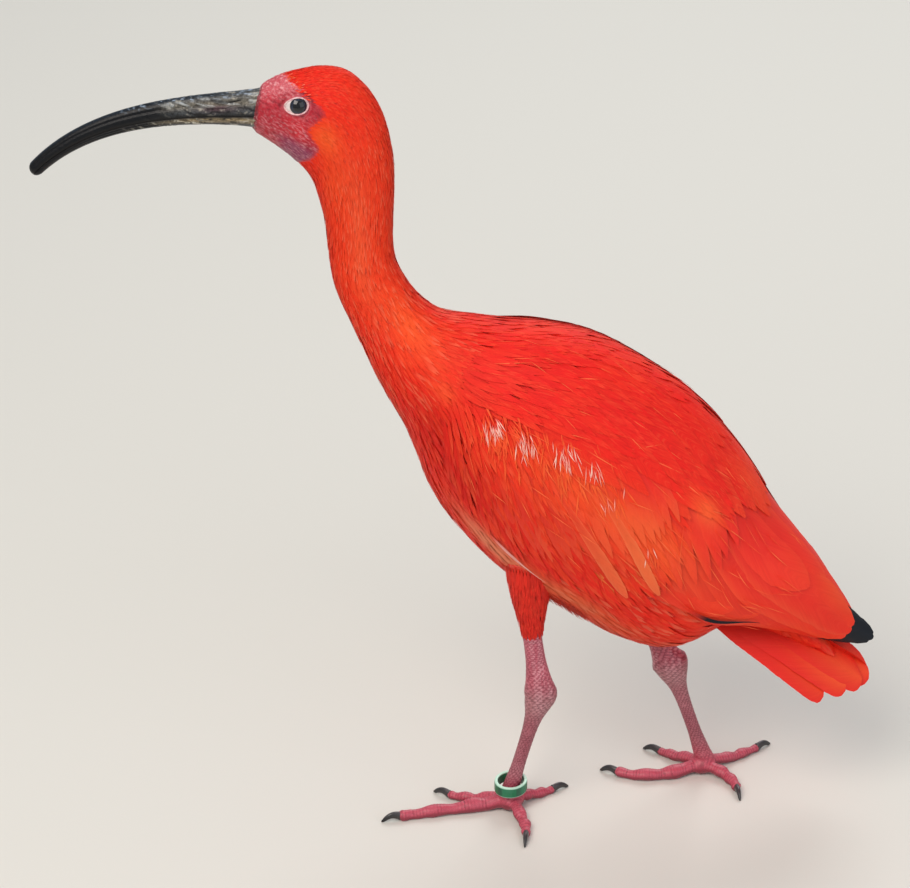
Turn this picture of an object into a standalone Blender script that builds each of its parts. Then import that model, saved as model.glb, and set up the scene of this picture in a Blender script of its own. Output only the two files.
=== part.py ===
# Scarlet ibis, life size, walking with its left foot ahead. The bill points to -X, the bird's
# left side faces -Y, and the floor is at z = 0. Sizes are millimetres until they become points.
from math import cos, pi, radians, sin, tan

import bmesh
import bpy
import numpy as np

MM = 0.001
GAP = 0.3  # room that touching pieces keep

# Rings of the body from the bill to the root of the tail: the centre's x and z, the lean of
# the ring's upward axis from +X in degrees, its half height and its half width
FLESH = {
    "bill_base": (-115.4, 458.1, 81, 13.0, 8.0),
    "face": (-108.7, 459.0, 83, 18.0, 10.0),
    "lore": (-102.1, 459.0, 82, 22.2, 12.0),
    "brow": (-93.8, 457.6, 80, 26.2, 14.2),
    "crown": (-84.3, 455.2, 75, 30.2, 16.5),
    "hind_crown": (-74.4, 450.6, 70, 34.0, 17.8),
    "occiput": (-66.5, 441.8, 63, 34.6, 17.8),
    "nape": (-60.9, 430.4, 54, 32.2, 17.0),
    "neck_top": (-57.2, 416.0, 45, 28.9, 16.0),
    "neck_high": (-55.4, 401.0, 38, 25.9, 15.3),
    "neck_slim": (-54.6, 369.0, 31, 21.6, 15.0),
    "neck_mid": (-51.8, 352.0, 30, 20.4, 15.4),
    "neck_low": (-44.4, 335.6, 33, 21.2, 17.0),
    "neck_root": (-36.0, 319.8, 43, 24.6, 20.0),
    "breast_top": (-25.5, 304.4, 53, 32.0, 26.0),
    "breast": (-10.5, 291.0, 58, 41.5, 33.5),
    "shoulder": (2.6, 280.4, 57, 49.0, 40.0),
    "mantle": (20.4, 267.6, 55, 62.8, 46.5),
    "back": (42.2, 250.9, 55, 73.4, 51.0),
    "flank": (71.8, 225.5, 58, 79.2, 53.0),
    "loin": (105.3, 200.6, 59, 77.6, 51.0),
    "rump": (130.5, 168.6, 59, 64.0, 43.0),
    "vent": (157.0, 147.0, 57, 50.0, 33.5),
    "tail_root": (180.0, 146.4, 55, 35.0, 21.0),
}
NAMES = list(FLESH)
HEAD_END = NAMES.index("nape") - 0.3
NECK_CUTS = (NAMES.index("neck_high") + 0.5, NAMES.index("neck_low"), NAMES.index("breast_top"))
TORSO_END = len(NAMES) - 1

# The folded wings lie on these rings, which leave the body behind the loin
WRAP = {name: FLESH[name] for name in NAMES[NAMES.index("breast_top"): NAMES.index("rump")]}
WRAP |= {
    "tertials": (135.0, 177.0, 60, 69.0, 47.0),
    "roof": (160.7, 153.5, 56, 56.2, 39.5),
    "roof_end": (186.0, 145.0, 50, 39.0, 32.0),
    "points": (212.0, 134.0, 48, 25.5, 23.0),
    "black": (235.0, 118.5, 48, 14.0, 14.0),
    "tips": (253.5, 109.0, 48, 7.0, 8.0),
}

RING_SIDES = 26
HEAD_RINGS, NECK_RINGS, TORSO_RINGS = 15, (8, 7, 6), 21

# Head
EYE_AT = (-90.4, 9.6, 464.0)
EYE_RADIUS = 6.6
EYE_FACES = (-0.16, 1.0, 0.22)
LID_HALF_LENGTH, LID_HALF_HEIGHT, LID_THICK = 7.6, 5.5, 0.95
LID_TILT = -7

# Bill. Each half's height and the width run from the base to the tip, and the tip is rounded
BILL_LENGTH = 138.0
BILL_HEIGHTS = {True: (12.8, 4.8), False: (8.3, 3.1)}  # above and below the line of the mouth
BILL_HALF_WIDTH = (6.9, 3.6)
BILL_TIP_START, BILL_TIP_LENGTH = 0.93, 0.085
BILL_GROOVE_DEPTH, BILL_GROOVE_AT, BILL_GROOVE_WIDTH = 0.10, 0.62, 0.2
BILL_LINE_DROP = 2.9  # the line of the mouth runs below the middle of the bill's base
BILL_DROP, BILL_CURL = 47.5, 1.95
BILL_RINGS, BILL_SIDES = 17, 12
NOSTRIL_FROM_BASE, NOSTRIL_OVER_MOUTH, NOSTRIL_OUT = 11.0, 8.2, 5.7
NOSTRIL_LENGTH, NOSTRIL_HEIGHT, NOSTRIL_DEPTH, NOSTRIL_SLANT = 8.0, 1.5, 1.6, -0.2

# Edges of a folded wing, as places along WRAP with the top and the bottom edge in degrees
WING_EDGES = (
    (1.35, 42, 84),
    (1.8, 28, 112),
    (2.6, 18, 126),
    (3.6, 13, 131),
    (4.6, 10, 130),
    (5.6, 7, 126),
    (6.5, 1, 118),
    (7.6, 0.4, 102),
    (9.2, 0.4, 108),
    (10.3, 0.4, 122),
    (11.1, 2, 124),
    (11.6, 8, 112),
)
WING_ROWS, WING_COLUMNS = 16, 9
WING_EDGE_RISE = 1.0  # how far the wing stands off the body at its edges
WING_RISE = ((1.2, 2.4), (2.6, 5.0), (5.5, 5.0), (9.5, 3.2), (11.5, 1.8))  # and along its middle
WING_SUNK = 4.0  # the wing's inner face lies in the body, and is cut back to it
WING_ROOF = (6.1, 6.9)  # where the wings leave the body, along WRAP
WING_ROOF_THICK = 2.6

# Tiers of vanes on a wing: how many, the first and the last root, the line of the tips from the
# lowest vane to the highest (places along WRAP and degrees round it), half width, and lift
WING_TIERS = {
    "primaries": (4, ((8.2, 106), (8.8, 70)),
                  ((11.2, 112), (11.7, 92), (11.95, 72), (11.9, 52)), 7.0, -0.5),
    "secondaries": (7, ((5.6, 120), (6.4, 30)),
                    ((8.4, 106), (10.1, 118), (11.0, 98), (11.1, 62), (10.4, 34)), 12.5, 0.0),
    "tertials": (3, ((6.2, 46), (6.4, 13)), ((9.4, 52), (9.7, 31), (9.4, 12)), 13.0, 0.9),
    "greater_coverts": (7, ((3.6, 118), (4.9, 66)),
                        ((5.9, 121), (6.6, 113), (7.1, 96), (7.5, 77), (7.5, 60)), 11.5, 0.8),
    "scapulars": (5, ((2.9, 78), (4.2, 17)),
                  ((5.2, 76), (6.5, 58), (7.2, 43), (7.8, 25), (7.7, 10)), 14.0, 1.5),
}
VANE_SHARES = (0.0, 0.3, 0.62, 0.88, 1.0)
VANE_WIDTHS = (0.6, 0.9, 1.0, 0.84, 0.3)
VANE_SINK, VANE_RAISE = 1.0, 1.2  # how far a root lies under its tier's level, and a tip over it
VANE_THICK = 1.0  # at least
VANE_DEPTH = 1.3  # how far a vane's underside lies in the wing's core
VANE_TUCK = (1.3, 0.5)  # how much lower the covered and the free edge lie than the middle
BODY_BEND = 0.007  # half the body's curvature across a vane, for each millimetre
VANE_STEP = 0.08  # how much higher each vane lies than the one below it
TIP_SCATTER, WIDTH_RANGE, FEATHER_SEED = (0.03, 0.8), (0.95, 1.05), 7

# Tail: closed, arched across, the middle feathers on top. Each vane has a root and a tip
TAIL_PAIRS = 6
TAIL_CORE = {
    "root": (179.0, 147.1, 55, 34.4, 20.4),
    "coverts": (199.0, 130.0, 54, 21.5, 16.5),
    "under": (217.0, 113.0, 52, 10.5, 13.0),
    "end": (233.0, 98.5, 51, 4.0, 9.0),
}
TAIL_MIDDLE = ((176.0, 1.5, 131.0), (255.5, 4.0, 84.0))
TAIL_OUTER = ((166.0, 12.5, 125.0), (223.0, 24.5, 84.5))
TAIL_ARCH, TAIL_CROWN = 2.5, 0.5
TAIL_HALF_WIDTH, TAIL_THICK, TAIL_STEP = 8.5, 1.6, 1.0
TAIL_SLOPE = 42  # degrees that the vanes lean outwards

# Legs: the left one is ahead. Each place is x, y, z. A toe has its start, bend and end on the
# floor, its half width, and how far from the middle of the foot it parts from it
LEGS = {
    "left": {
        "knee": (44.0, -25.0, 178.0),
        "bare": (47.0, -21.0, 121.0),
        "hock": (52.6, -20.0, 79.0),
        "ankle": (34.4, -23.9, 13.2),
        "toes": {
            "middle": ((33.5, -24.0), (-3.0, -31.5), (-35.0, -39.0), 4.3, 22.0),
            "inner": ((31.0, -21.0), (10.0, -18.5), (-4.5, -12.5), 3.7, 23.0),
            "outer": ((35.0, -27.0), (42.0, -44.0), (43.5, -60.0), 3.8, 14.0),
            "hind": ((37.0, -21.5), (51.0, -13.0), (62.0, -6.0), 3.4, 13.5),
        },
    },
    "right": {
        "knee": (82.0, 25.0, 168.0),
        "bare": (121.0, 16.5, 105.0),
        "hock": (133.6, 14.0, 81.5),
        "ankle": (155.9, 19.3, 13.2),
        "toes": {
            "middle": ((156.0, 19.5), (126.0, 9.0), (101.0, 14.0), 4.3, 15.0),
            "inner": ((158.0, 16.0), (171.0, 7.0), (176.5, -6.5), 3.8, 14.5),
            "outer": ((153.0, 22.0), (140.0, 32.0), (129.0, 39.5), 3.7, 15.0),
            "hind": ((160.0, 22.0), (177.0, 32.0), (193.0, 44.0), 3.4, 13.5),
        },
    },
}
# Half depth and half width of a leg at shares of the way from knee to bare skin, on to the hock
# and on to the ankle
THIGH = ((0.0, 15.5, 13.0), (0.45, 12.4, 11.0), (0.75, 9.0, 8.4), (1.0, 6.5, 5.9))
SHANK = ((0.0, 5.9, 5.1), (0.4, 6.2, 5.0), (0.72, 7.9, 5.7), (0.9, 9.8, 6.5), (1.0, 10.1, 6.7))
TARSUS = ((0.1, 8.4, 6.1), (0.24, 5.6, 4.6), (0.42, 4.4, 3.8), (0.72, 4.2, 3.7), (0.9, 5.0, 4.6),
          (1.0, 5.7, 5.3))
HOCK_SPLIT, HOCK_END = 0.13, (8.0, 5.9)
ANKLE_SPREAD = np.array([0, 0.8, 1.6])  # how the foot widens below the ankle, over five times that
PAD = (8.6, 8.0, 6.4)
PAD_HEIGHT = 5.6
TOE_TAPER, TOE_JOINTS = (1.08, 0.34), 0.07  # the width at the start, what it loses, and the joints
TOE_DOWN = (2, 20)  # a toe comes down from the foot over this stretch of its length
TOE_LIFT = 0.86  # the height of its middle over the floor, in half widths
CLAW_LENGTH, CLAW_RADIUS, CLAW_HUMP = 10.5, 2.1, 1.6
CLAW_POINT, CLAW_ROOT = 0.28, 0.66  # half width at the point, and the root's height in toe widths
LEG_SIDES, TOE_SIDES, CLAW_SIDES = 12, 8, 6

# Leg ring, loose round the left tarsus
BAND_RADIUS, BAND_WALL, BAND_HEIGHT = 10.2, 2.2, 7.0
BAND_AT = (34.6, -24.0, 16.8)
BAND_TILT = (3, 4)
BAND_EASE, BAND_STEPS = 0.5, 20

COLOURS = {
    "plumage": ((0.78, 0.045, 0.012), 0.6),
    "flight": ((0.80, 0.06, 0.015), 0.5),
    "black": ((0.012, 0.012, 0.018), 0.45),
    "bill": ((0.035, 0.033, 0.036), 0.35),
    "skin": ((0.55, 0.10, 0.12), 0.55),
    "claw": ((0.03, 0.028, 0.03), 0.4),
    "eye": ((0.01, 0.008, 0.008), 0.08),
    "band": ((0.03, 0.22, 0.13), 0.4),
}


def clear_scene():
    for old in list(bpy.data.objects):
        bpy.data.objects.remove(old)


def material(name):
    colour, roughness = COLOURS[name]
    made = bpy.data.materials.get(name)
    if made is None:
        made = bpy.data.materials.new(name)
        made.use_nodes = True
        shader = made.node_tree.nodes["Principled BSDF"]
        shader.inputs["Base Color"].default_value = (*colour, 1.0)
        shader.inputs["Roughness"].default_value = roughness
    return made


def new_object(name, points, faces, finish=None):
    """A mesh object from points in millimetres, with its normals turned outwards."""
    mesh = bpy.data.meshes.new(name)
    mesh.from_pydata((np.asarray(points, float) * MM).tolist(), [], faces)
    work = bmesh.new()
    work.from_mesh(mesh)
    bmesh.ops.recalc_face_normals(work, faces=work.faces)
    work.to_mesh(mesh)
    work.free()
    made = bpy.data.objects.new(name, mesh)
    bpy.context.scene.collection.objects.link(made)
    if finish:
        mesh.materials.append(material(finish))
    mesh.shade_smooth()
    return made


def tube(name, rings, finish=None):
    """A closed solid through rings of points, with a flat cap at each end."""
    count, sides, _ = rings.shape
    faces = [
        (
            row * sides + side,
            row * sides + (side + 1) % sides,
            (row + 1) * sides + (side + 1) % sides,
            (row + 1) * sides + side,
        )
        for row in range(count - 1)
        for side in range(sides)
    ]
    faces.append(tuple(range(sides))[::-1])
    faces.append(tuple((count - 1) * sides + side for side in range(sides)))
    return new_object(name, rings.reshape(-1, 3), faces, finish)


def shell(name, outer, inner, finish=None):
    """A closed plate between two grids of points of the same size."""
    rows, columns, _ = outer.shape
    size = rows * columns

    def at(row, column, layer):
        return layer * size + row * columns + column

    faces = []
    for row in range(rows - 1):
        for column in range(columns - 1):
            quad = [(row, column), (row, column + 1), (row + 1, column + 1), (row + 1, column)]
            # Both faces are split along the same diagonal, so that a thin plate can't cross itself
            for corners in ((0, 1, 2), (0, 2, 3)):
                faces.append(tuple(at(*quad[k], 0) for k in corners))
                faces.append(tuple(at(*quad[k], 1) for k in reversed(corners)))
    rim = [(0, c) for c in range(columns - 1)]
    rim += [(r, columns - 1) for r in range(rows - 1)]
    rim += [(rows - 1, c) for c in range(columns - 1, 0, -1)]
    rim += [(r, 0) for r in range(rows - 1, 0, -1)]
    for here, there in zip(rim, rim[1:] + rim[:1]):
        faces.append((at(*there, 0), at(*here, 0), at(*here, 1), at(*there, 1)))
    points = np.concatenate([outer.reshape(-1, 3), inner.reshape(-1, 3)])
    return new_object(name, points, faces, finish)


def largest_body(obj):
    """Keeps only the largest closed surface of a mesh."""
    work = bmesh.new()
    work.from_mesh(obj.data)
    bmesh.ops.remove_doubles(work, verts=work.verts, dist=1e-7)
    seen, groups = set(), []
    for start in work.faces:
        if start in seen:
            continue
        group, edge = [], [start]
        seen.add(start)
        while edge:
            face = edge.pop()
            group.append(face)
            for side in face.edges:
                for other in side.link_faces:
                    if other not in seen:
                        seen.add(other)
                        edge.append(other)
        groups.append(group)
    groups.sort(key=lambda g: sum(f.calc_area() for f in g), reverse=True)
    loose = [face for group in groups[1:] for face in group]
    bmesh.ops.delete(work, geom=loose, context="FACES")
    work.to_mesh(obj.data)
    work.free()


def boolean(obj, others, operation):
    """Joins objects to obj, or cuts them from it, and removes them."""
    group = bpy.data.collections.new("operands")
    bpy.context.scene.collection.children.link(group)
    for other in others:
        group.objects.link(other)
    modifier = obj.modifiers.new("join", "BOOLEAN")
    modifier.operation = operation
    modifier.operand_type = "COLLECTION"
    modifier.collection = group
    modifier.solver = "MANIFOLD"
    bpy.context.view_layer.update()
    graph = bpy.context.evaluated_depsgraph_get()
    mesh = bpy.data.meshes.new_from_object(obj.evaluated_get(graph))
    obj.modifiers.clear()
    obj.data = mesh
    for other in others:
        bpy.data.objects.remove(other)
    bpy.data.collections.remove(group)
    largest_body(obj)
    return obj


def spline(rows, t):
    """Rows read at t by a Catmull-Rom curve, where whole numbers are the rows themselves."""
    rows = np.asarray(rows, float)
    t = np.clip(np.asarray(t, float), 0, len(rows) - 1)
    low = np.minimum(t.astype(int), len(rows) - 2)
    part = (t - low)[..., None]
    padded = np.concatenate([[2 * rows[0] - rows[1]], rows, [2 * rows[-1] - rows[-2]]])
    before, here, there, after = (padded[low + k] for k in range(4))
    return 0.5 * (
        2 * here
        + (there - before) * part
        + (2 * before - 5 * here + 4 * there - after) * part**2
        + (3 * here - 3 * there + after - before) * part**3
    )


def smooth_step(value, low, high):
    part = np.clip((value - low) / (high - low), 0, 1)
    return part * part * (3 - 2 * part)


class Loft:
    """Oval rings along a bent body: t counts the rings, and phi turns in degrees from a ring's top
    to the bird's left."""

    def __init__(self, rings):
        self.rows = [rings[name] for name in rings]

    def flat(self, t, phi, grow=0.0):
        x, z, lean, height, width = np.moveaxis(spline(self.rows, t), -1, 0)
        up, turn = np.radians(lean), np.radians(phi)
        rise = (height + grow) * np.cos(turn)
        return np.stack(
            [
                x + rise * np.cos(up),
                -(width + grow) * np.sin(turn),
                z + rise * np.sin(up),
            ],
            -1,
        )

    def normal(self, t, phi):
        step_t, step_phi = 0.02, 1.0
        along = self.flat(t + step_t, phi) - self.flat(t - step_t, phi)
        round_ = self.flat(t, phi + step_phi) - self.flat(t, phi - step_phi)
        out = np.cross(round_, along)
        return out / np.linalg.norm(out, axis=-1, keepdims=True)

    def point(self, t, phi, lift=0.0):
        t, phi = np.broadcast_arrays(np.asarray(t, float), np.asarray(phi, float))
        lift = np.broadcast_to(lift, t.shape)
        return self.flat(t, phi) + self.normal(t, phi) * lift[..., None]

    def rings(self, start, end, count, sides, grow=0.0, trim=(0.0, 0.0)):
        """Rings from start to end, the outer ones moved in by trim along the body."""
        t = np.linspace(start, end, count)
        phi = np.arange(sides) * 360 / sides
        points = self.flat(t[:, None], phi[None, :] + 0 * t[:, None], grow)
        ways = (points[1].mean(0) - points[0].mean(0), points[-2].mean(0) - points[-1].mean(0))
        for row, way, amount in zip((0, -1), ways, trim):
            lean = radians(spline(self.rows, t[row])[2])
            across = np.array([sin(lean), 0, -cos(lean)])
            across *= np.sign(across @ way)
            points[row] += across * amount
        return points


body = Loft(FLESH)
wrap = Loft(WRAP)


def oval_path(centres, depths, widths, sides, forward, along=None):
    """Rings round a path: depth is measured along forward, width across it and the path."""
    centres = np.asarray(centres, float)
    along = np.gradient(centres, axis=0) if along is None else along
    along = along / np.linalg.norm(along, axis=1, keepdims=True)
    front = np.asarray(forward, float) - along * (along @ np.asarray(forward, float))[:, None]
    front /= np.linalg.norm(front, axis=1, keepdims=True)
    side = np.cross(along, front)
    turn = np.arange(sides) * 2 * pi / sides
    return (
        centres[:, None]
        + front[:, None] * (np.asarray(depths)[:, None] * np.cos(turn))[..., None]
        + side[:, None] * (np.asarray(widths)[:, None] * np.sin(turn))[..., None]
    )


def sphere(name, centre, radius, finish=None, rings=8, sides=12):
    work = bmesh.new()
    bmesh.ops.create_uvsphere(work, u_segments=sides, v_segments=rings, radius=radius)
    points = [np.array(v.co) + np.array(centre) for v in work.verts]
    faces = [tuple(v.index for v in f.verts) for f in work.faces]
    work.free()
    return new_object(name, points, faces, finish)


def facing(side):
    """The way an eye looks, and the head's own forward and up directions seen by it."""
    out = np.array(EYE_FACES) * (1, side, 1)
    out /= np.linalg.norm(out)
    forward = np.array([-1.0, 0, sin(radians(LID_TILT))])
    forward -= out * (forward @ out)
    forward /= np.linalg.norm(forward)
    up = np.cross(out, forward) * side * -1
    return out, forward, up * np.sign(up[2])


def lid_ring(side):
    """The pale rim of the lids: an almond-shaped ring, pointed at the front corner."""
    out, forward, up = facing(side)
    centre = np.array(EYE_AT) * (1, side, 1)
    count, sides = 20, 5
    turn = np.arange(count) * 2 * pi / count
    long = LID_HALF_LENGTH * np.cos(turn)
    tall = LID_HALF_HEIGHT * np.sin(turn) * (1 - 0.22 * np.cos(turn))
    depth = np.sqrt(np.maximum((EYE_RADIUS + 0.3) ** 2 - long**2 * 0.62 - tall**2, 4.0))
    line = centre + long[:, None] * forward + tall[:, None] * up + depth[:, None] * out
    along = np.roll(line, -1, 0) - np.roll(line, 1, 0)
    along /= np.linalg.norm(along, axis=1, keepdims=True)
    away = np.cross(along, out)
    away /= np.linalg.norm(away, axis=1, keepdims=True)
    rise = np.cross(away, along)
    angle = np.arange(sides) * 2 * pi / sides
    points = (
        line[:, None]
        + away[:, None] * (LID_THICK * np.cos(angle))[None, :, None]
        + rise[:, None] * (LID_THICK * np.sin(angle))[None, :, None]
    )
    faces = [
        (
            row * sides + k,
            row * sides + (k + 1) % sides,
            (row + 1) % count * sides + (k + 1) % sides,
            (row + 1) % count * sides + k,
        )
        for row in range(count)
        for k in range(sides)
    ]
    return new_object("lids", points.reshape(-1, 3), faces)


def make_head():
    head = tube("head", body.rings(0, HEAD_END, HEAD_RINGS, RING_SIDES, trim=(0, GAP / 2)), "plumage")
    sides = (1, -1)
    boolean(head, [lid_ring(side) for side in sides], "UNION")
    sockets = [sphere("socket", np.array(EYE_AT) * (1, s, 1), EYE_RADIUS + GAP) for s in sides]
    boolean(head, sockets, "DIFFERENCE")
    for side, name in ((-1, "eye_left"), (1, "eye_right")):
        sphere(name, np.array(EYE_AT) * (1, side, 1), EYE_RADIUS, "eye")


def bill_line(share):
    """The bill's mouth line at shares of its length, and its heading there."""
    fine = np.linspace(0, 1, 401)
    heading = np.radians(BILL_DROP * fine**BILL_CURL)
    step = BILL_LENGTH / 400
    base_x, base_z = FLESH["bill_base"][:2]
    x = base_x - GAP - np.concatenate([[0], np.cumsum(np.cos(heading[:-1]) * step)])
    z = base_z - BILL_LINE_DROP - np.concatenate([[0], np.cumsum(np.sin(heading[:-1]) * step)])
    angle = np.interp(share, fine, heading)
    return np.stack([np.interp(share, fine, x), 0 * share, np.interp(share, fine, z)], -1), angle


def bill_half(name, upper):
    """One half of the bill: an arch over the mouth line, or the shallower trough under it."""
    share = np.linspace(0, 1, BILL_RINGS) ** 0.9
    line, angle = bill_line(share)
    past = np.clip((share - BILL_TIP_START) / BILL_TIP_LENGTH, 0, 1)
    tip = np.sqrt(np.maximum(1 - past**2, 0.02))
    base, end = BILL_HEIGHTS[upper]
    height = (base + (end - base) * np.sqrt(share)) * tip
    base, end = BILL_HALF_WIDTH
    width = (base + (end - base) * share**0.7) * tip
    turn = np.linspace(0, pi, BILL_SIDES)
    # A groove runs along each side of the upper half from the nostril to the tip
    from_edge = (np.minimum(turn, pi - turn) - BILL_GROOVE_AT) / BILL_GROOVE_WIDTH
    groove = 1 - BILL_GROOVE_DEPTH * np.exp(-(from_edge**2)) * upper
    away = np.stack([-np.sin(angle), 0 * angle, np.cos(angle)], -1) * (1 if upper else -1)
    start = GAP / 2
    points = (
        line[:, None]
        + away[:, None] * (start + height[:, None] * np.sin(turn) * groove)[..., None]
        + np.array([0, 1.0, 0]) * (width[:, None] * np.cos(turn) * groove)[..., None]
    )
    # The base is square to the face, and the lean fades out along the bill
    fade = (1 - smooth_step(share, 0, 0.2))[:, None]
    over = points[..., 2] - FLESH["bill_base"][1]
    points[..., 0] += over / tan(radians(FLESH["bill_base"][2])) * fade
    return tube(name, points, "bill")


def make_bill():
    upper = bill_half("bill_upper", True)
    bill_half("bill_lower", False)
    slits = []
    for side in (-1, 1):
        middle, _ = bill_line(np.array(NOSTRIL_FROM_BASE / BILL_LENGTH))
        slit = sphere("nostril", (0, 0, 0), 1.0, rings=8, sides=12)
        for vertex in slit.data.vertices:
            x, y, z = np.array(vertex.co) / MM
            size = np.array([x * NOSTRIL_LENGTH / 2, y * NOSTRIL_DEPTH, z * NOSTRIL_HEIGHT / 2])
            size[2] += NOSTRIL_SLANT * size[0]
            place = middle + (0, side * NOSTRIL_OUT, NOSTRIL_OVER_MOUTH)
            vertex.co = (place + size) * MM
        slits.append(slit)
    boolean(upper, slits, "DIFFERENCE")


def make_neck_and_torso():
    cuts = (HEAD_END, *NECK_CUTS, TORSO_END)
    names = ("neck_upper", "neck_middle", "neck_lower")
    for name, start, end, count in zip(names, cuts[:-2], cuts[1:-1], NECK_RINGS):
        trim = (GAP / 2, GAP / 2)
        tube(name, body.rings(start, end, count, RING_SIDES, trim=trim), "plumage")
    torso("torso", finish="plumage")


def torso(name, grow=0.0, finish=None):
    trim = (GAP / 2, 0) if finish else (0, -GAP)
    rings = body.rings(NECK_CUTS[-1], TORSO_END, TORSO_RINGS, RING_SIDES, grow, trim)
    return tube(name, rings, finish)


def wing_edges(t):
    rows = np.array(WING_EDGES, float)
    fine = spline(rows, np.linspace(0, len(rows) - 1, 200))
    return np.interp(t, fine[:, 0], fine[:, 1]), np.interp(t, fine[:, 0], fine[:, 2])


def wing_rise(t, across):
    """How far the closed wing stands off the body: thin at its edges, full along its middle."""
    full = np.interp(t, *zip(*WING_RISE))
    return WING_EDGE_RISE + (full - WING_EDGE_RISE) * np.sin(pi * np.clip(across, 0, 1)) ** 0.6


def mirrored(points, side):
    """Points of the left side, kept or taken over to the right, and clear of the middle plane."""
    points = points.copy()
    points[..., 1] = np.minimum(points[..., 1], -GAP / 2)
    points[..., 1] *= -side
    return points


def wing_core(side):
    t = np.linspace(WING_EDGES[0][0], WING_EDGES[-1][0], WING_ROWS)[:, None]
    across = np.linspace(0, 1, WING_COLUMNS)[None, :]
    top, low = wing_edges(t)
    phi = top + (low - top) * across
    rise = wing_rise(t, across)
    inner_rise = -WING_SUNK + (rise - WING_ROOF_THICK + WING_SUNK) * smooth_step(t, *WING_ROOF)
    outer = wrap.point(t, phi, rise)
    inner = wrap.point(t, phi, inner_rise)
    return shell("core", mirrored(outer, side), mirrored(inner, side))


def vane_widths(half_width, share):
    return half_width * np.interp(share, VANE_SHARES, VANE_WIDTHS)


def wing_vane(root, tip, half_width, lift, side):
    """A vane over the closed wing: its root is sunk, its tip stands over the vane behind."""
    share = np.array(VANE_SHARES)
    t = root[0] + (tip[0] - root[0]) * share
    phi = root[1] + (tip[1] - root[1]) * share**1.2
    top, low = wing_edges(t)
    level = wing_rise(t, (phi - top) / (low - top)) + lift
    level += VANE_RAISE * share - VANE_SINK * (1 - share)
    line, out = wrap.point(t, phi, level), wrap.normal(t, phi)
    along = np.gradient(line, axis=0)
    across = np.cross(along, out)
    across /= np.linalg.norm(across, axis=1, keepdims=True)
    width = vane_widths(half_width, share)
    place = np.array([-1.0, 0.0, 1.0])
    # The edge under the next vane lies deeper, and the vane bends with the body
    tuck = np.array([VANE_TUCK[0], 0.0, VANE_TUCK[1]])
    droop = tuck + BODY_BEND * width[:, None] ** 2 * place**2
    outer = line[:, None] + across[:, None] * (width[:, None] * place)[..., None]
    outer = outer - out[:, None] * droop[..., None]
    proud = (level - wing_rise(t, (phi - top) / (low - top)))[:, None]
    thick = np.maximum(proud + VANE_DEPTH - tuck, VANE_THICK)
    inner = outer - out[:, None] * thick[..., None]
    return shell("vane", mirrored(outer, side), mirrored(inner, side))


def wing_vanes(side):
    draw = np.random.default_rng(FEATHER_SEED)
    vanes = []
    for count, roots, tips, half_width, lift in WING_TIERS.values():
        for k, share in enumerate(np.linspace(0, 1, count)):
            root = np.array(roots[0]) + (np.array(roots[1]) - roots[0]) * share
            tip = spline(tips, share * (len(tips) - 1)) + draw.normal(0, TIP_SCATTER)
            wide = half_width * draw.uniform(*WIDTH_RANGE)
            vanes.append(wing_vane(root, tip, wide, lift + VANE_STEP * k, side))
    return vanes


def make_wing(name, side):
    wing = wing_core(side)
    wing.name = name
    boolean(wing, wing_vanes(side), "UNION")
    boolean(wing, [torso("cutter", grow=GAP)], "DIFFERENCE")
    wing.data.materials.clear()
    wing.data.materials.append(material("flight"))


def tail_vane(pair, side):
    """One tail feather: the pairs lie under each other from the middle pair out."""
    share = pair / (TAIL_PAIRS - 1)
    middle, outer = np.array(TAIL_MIDDLE), np.array(TAIL_OUTER)
    root, tip = middle + (outer - middle) * share
    tip[0] = middle[1, 0] + (outer[1, 0] - middle[1, 0]) * share**1.6
    slope = radians(TAIL_SLOPE)
    across = np.array([0.0, cos(slope), -sin(slope)])
    along = np.array(VANE_SHARES)
    width = vane_widths(TAIL_HALF_WIDTH, along)
    line = root + (tip - root) * along[:, None]
    under = TAIL_STEP * (pair + (side > 0) / 2)
    line[:, 2] += TAIL_ARCH * np.sin(pi * along) - under * (0.4 + 0.6 * along)
    place = np.array([-1.0, 0.0, 1.0])
    top = line[:, None] + across * (width[:, None] * place)[..., None]
    top[..., 2] += TAIL_CROWN * (1 - place**2)
    top[..., 1] *= side
    return shell("vane", top, top - np.array([0, 0, TAIL_THICK]))


def make_tail():
    core = Loft(TAIL_CORE)
    tail = tube("tail", core.rings(0, len(TAIL_CORE) - 1, 6, 14), "flight")
    vanes = [tail_vane(pair, side) for pair in range(TAIL_PAIRS) for side in (-1, 1)]
    boolean(tail, vanes, "UNION")
    boolean(tail, [torso("cutter", grow=GAP)], "DIFFERENCE")


def lerp(start, end, share):
    start, end = np.array(start, float), np.array(end, float)
    return start + (end - start) * share


def leg_rows(leg):
    """Rows of x, y, z, half depth and half width down a leg, and where its parts begin."""
    rows = [(*lerp(leg["knee"], leg["bare"], s), d, w) for s, d, w in THIGH]
    shank = len(rows)
    rows += [(*lerp(leg["bare"], leg["hock"], s), d, w) for s, d, w in SHANK]
    tarsus = len(rows)
    rows += [(*lerp(leg["hock"], leg["ankle"], s), d, w) for s, d, w in TARSUS]
    return np.array(rows), shank, tarsus


def unit(vector):
    return np.asarray(vector, float) / np.linalg.norm(vector)


def leg_piece(name, rows, count, finish, ways, trim):
    """A length of leg through its rows; its end faces are square to the two ways."""
    read = spline(rows, np.linspace(0, len(rows) - 1, count))
    along = np.gradient(read[:, :3], axis=0)
    along[0], along[-1] = ways
    rings = oval_path(read[:, :3], read[:, 3], read[:, 4], LEG_SIDES, (-1, 0, 0), along)
    rings[0] += unit(ways[0]) * trim[0]
    rings[-1] -= unit(ways[1]) * trim[1]
    return tube(name, rings, finish)


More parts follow.
